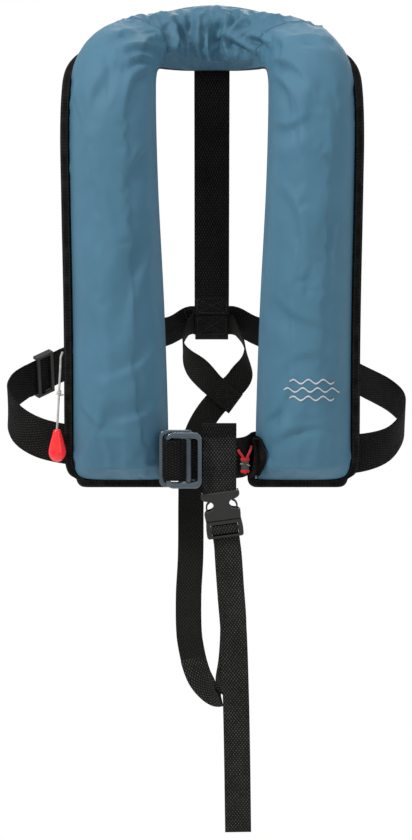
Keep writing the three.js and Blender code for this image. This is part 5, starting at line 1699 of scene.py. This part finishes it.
class JACKET_OT_bindings(bpy.types.Operator):
    """Bind the lobes' edges and face the belt's way out"""

    bl_idname = "jacket.bindings"
    bl_label = "Edge tapes"

    def execute(self, context):
        make_bindings()
        make_exit_facing()
        return {"FINISHED"}


class JACKET_OT_inside(bpy.types.Operator):
    """Make the folded bladder and the closure inside the covers"""

    bl_idname = "jacket.inside"
    bl_label = "Bladder and closure"

    def execute(self, context):
        make_inside_cloth()
        return {"FINISHED"}


class JACKET_OT_belts(bpy.types.Operator):
    """Weave the waist belt, the back strap and its loop"""

    bl_idname = "jacket.belts"
    bl_label = "Belt and back strap"

    def execute(self, context):
        make_belts(context.scene.jacket_straps)
        return {"FINISHED"}


class JACKET_OT_hanger(bpy.types.Operator):
    """Weave the hanger loop"""

    bl_idname = "jacket.hanger"
    bl_label = "Hanger"

    def execute(self, context):
        make_hanger(context.scene.jacket_straps)
        return {"FINISHED"}


class JACKET_OT_crotch_strap(bpy.types.Operator):
    """Weave the crotch strap"""

    bl_idname = "jacket.crotch_strap"
    bl_label = "Crotch strap"

    def execute(self, context):
        make_crotch_strap(context.scene.jacket_straps)
        return {"FINISHED"}


class JACKET_OT_steel(bpy.types.Operator):
    """Make the steel buckle"""

    bl_idname = "jacket.steel"
    bl_label = "Steel buckle"

    def execute(self, context):
        make_steel()
        return {"FINISHED"}


class JACKET_OT_fittings(bpy.types.Operator):
    """Finish the clip, the adjuster, the inflator, the oral tube and the whistle"""

    bl_idname = "jacket.fittings"
    bl_label = "Fittings"

    def execute(self, context):
        make_fittings()
        return {"FINISHED"}


OPERATORS = [
    JACKET_OT_stage, JACKET_OT_pull_cord, JACKET_OT_small_cords, JACKET_OT_covers, JACKET_OT_panels,
    JACKET_OT_bindings, JACKET_OT_inside, JACKET_OT_belts, JACKET_OT_hanger, JACKET_OT_crotch_strap,
    JACKET_OT_steel, JACKET_OT_fittings,
]
SETTINGS = {
    "jacket_cloth": JacketCloth, "jacket_straps": JacketStraps, "jacket_hardware": JacketHardware,
    "jacket_stage": JacketStage,
}


class JACKET_PT_panel(bpy.types.Panel):
    """Lists the jacket's pieces and their settings"""

    bl_idname = "JACKET_PT_panel"
    bl_label = "Life jacket"
    bl_space_type = "VIEW_3D"
    bl_region_type = "UI"
    bl_category = "Life jacket"

    def draw(self, context):
        for name, group in SETTINGS.items():
            settings = getattr(context.scene, name)
            for key in group.__annotations__:
                self.layout.prop(settings, key)
        for operator in OPERATORS:
            self.layout.operator(operator.bl_idname)


def register():
    for group in SETTINGS.values():
        bpy.utils.register_class(group)
    for name, group in SETTINGS.items():
        setattr(bpy.types.Scene, name, bpy.props.PointerProperty(type=group))
    for cls in [*OPERATORS, JACKET_PT_panel]:
        bpy.utils.register_class(cls)


def unregister():
    for cls in [JACKET_PT_panel, *reversed(OPERATORS)]:
        bpy.utils.unregister_class(cls)
    for name, group in reversed(SETTINGS.items()):
        delattr(bpy.types.Scene, name)
        bpy.utils.unregister_class(group)


def main():
    register()
    for operator in OPERATORS:
        group, name = operator.bl_idname.split(".")
        getattr(getattr(bpy.ops, group), name)()


if __name__ == "__main__":
    main()
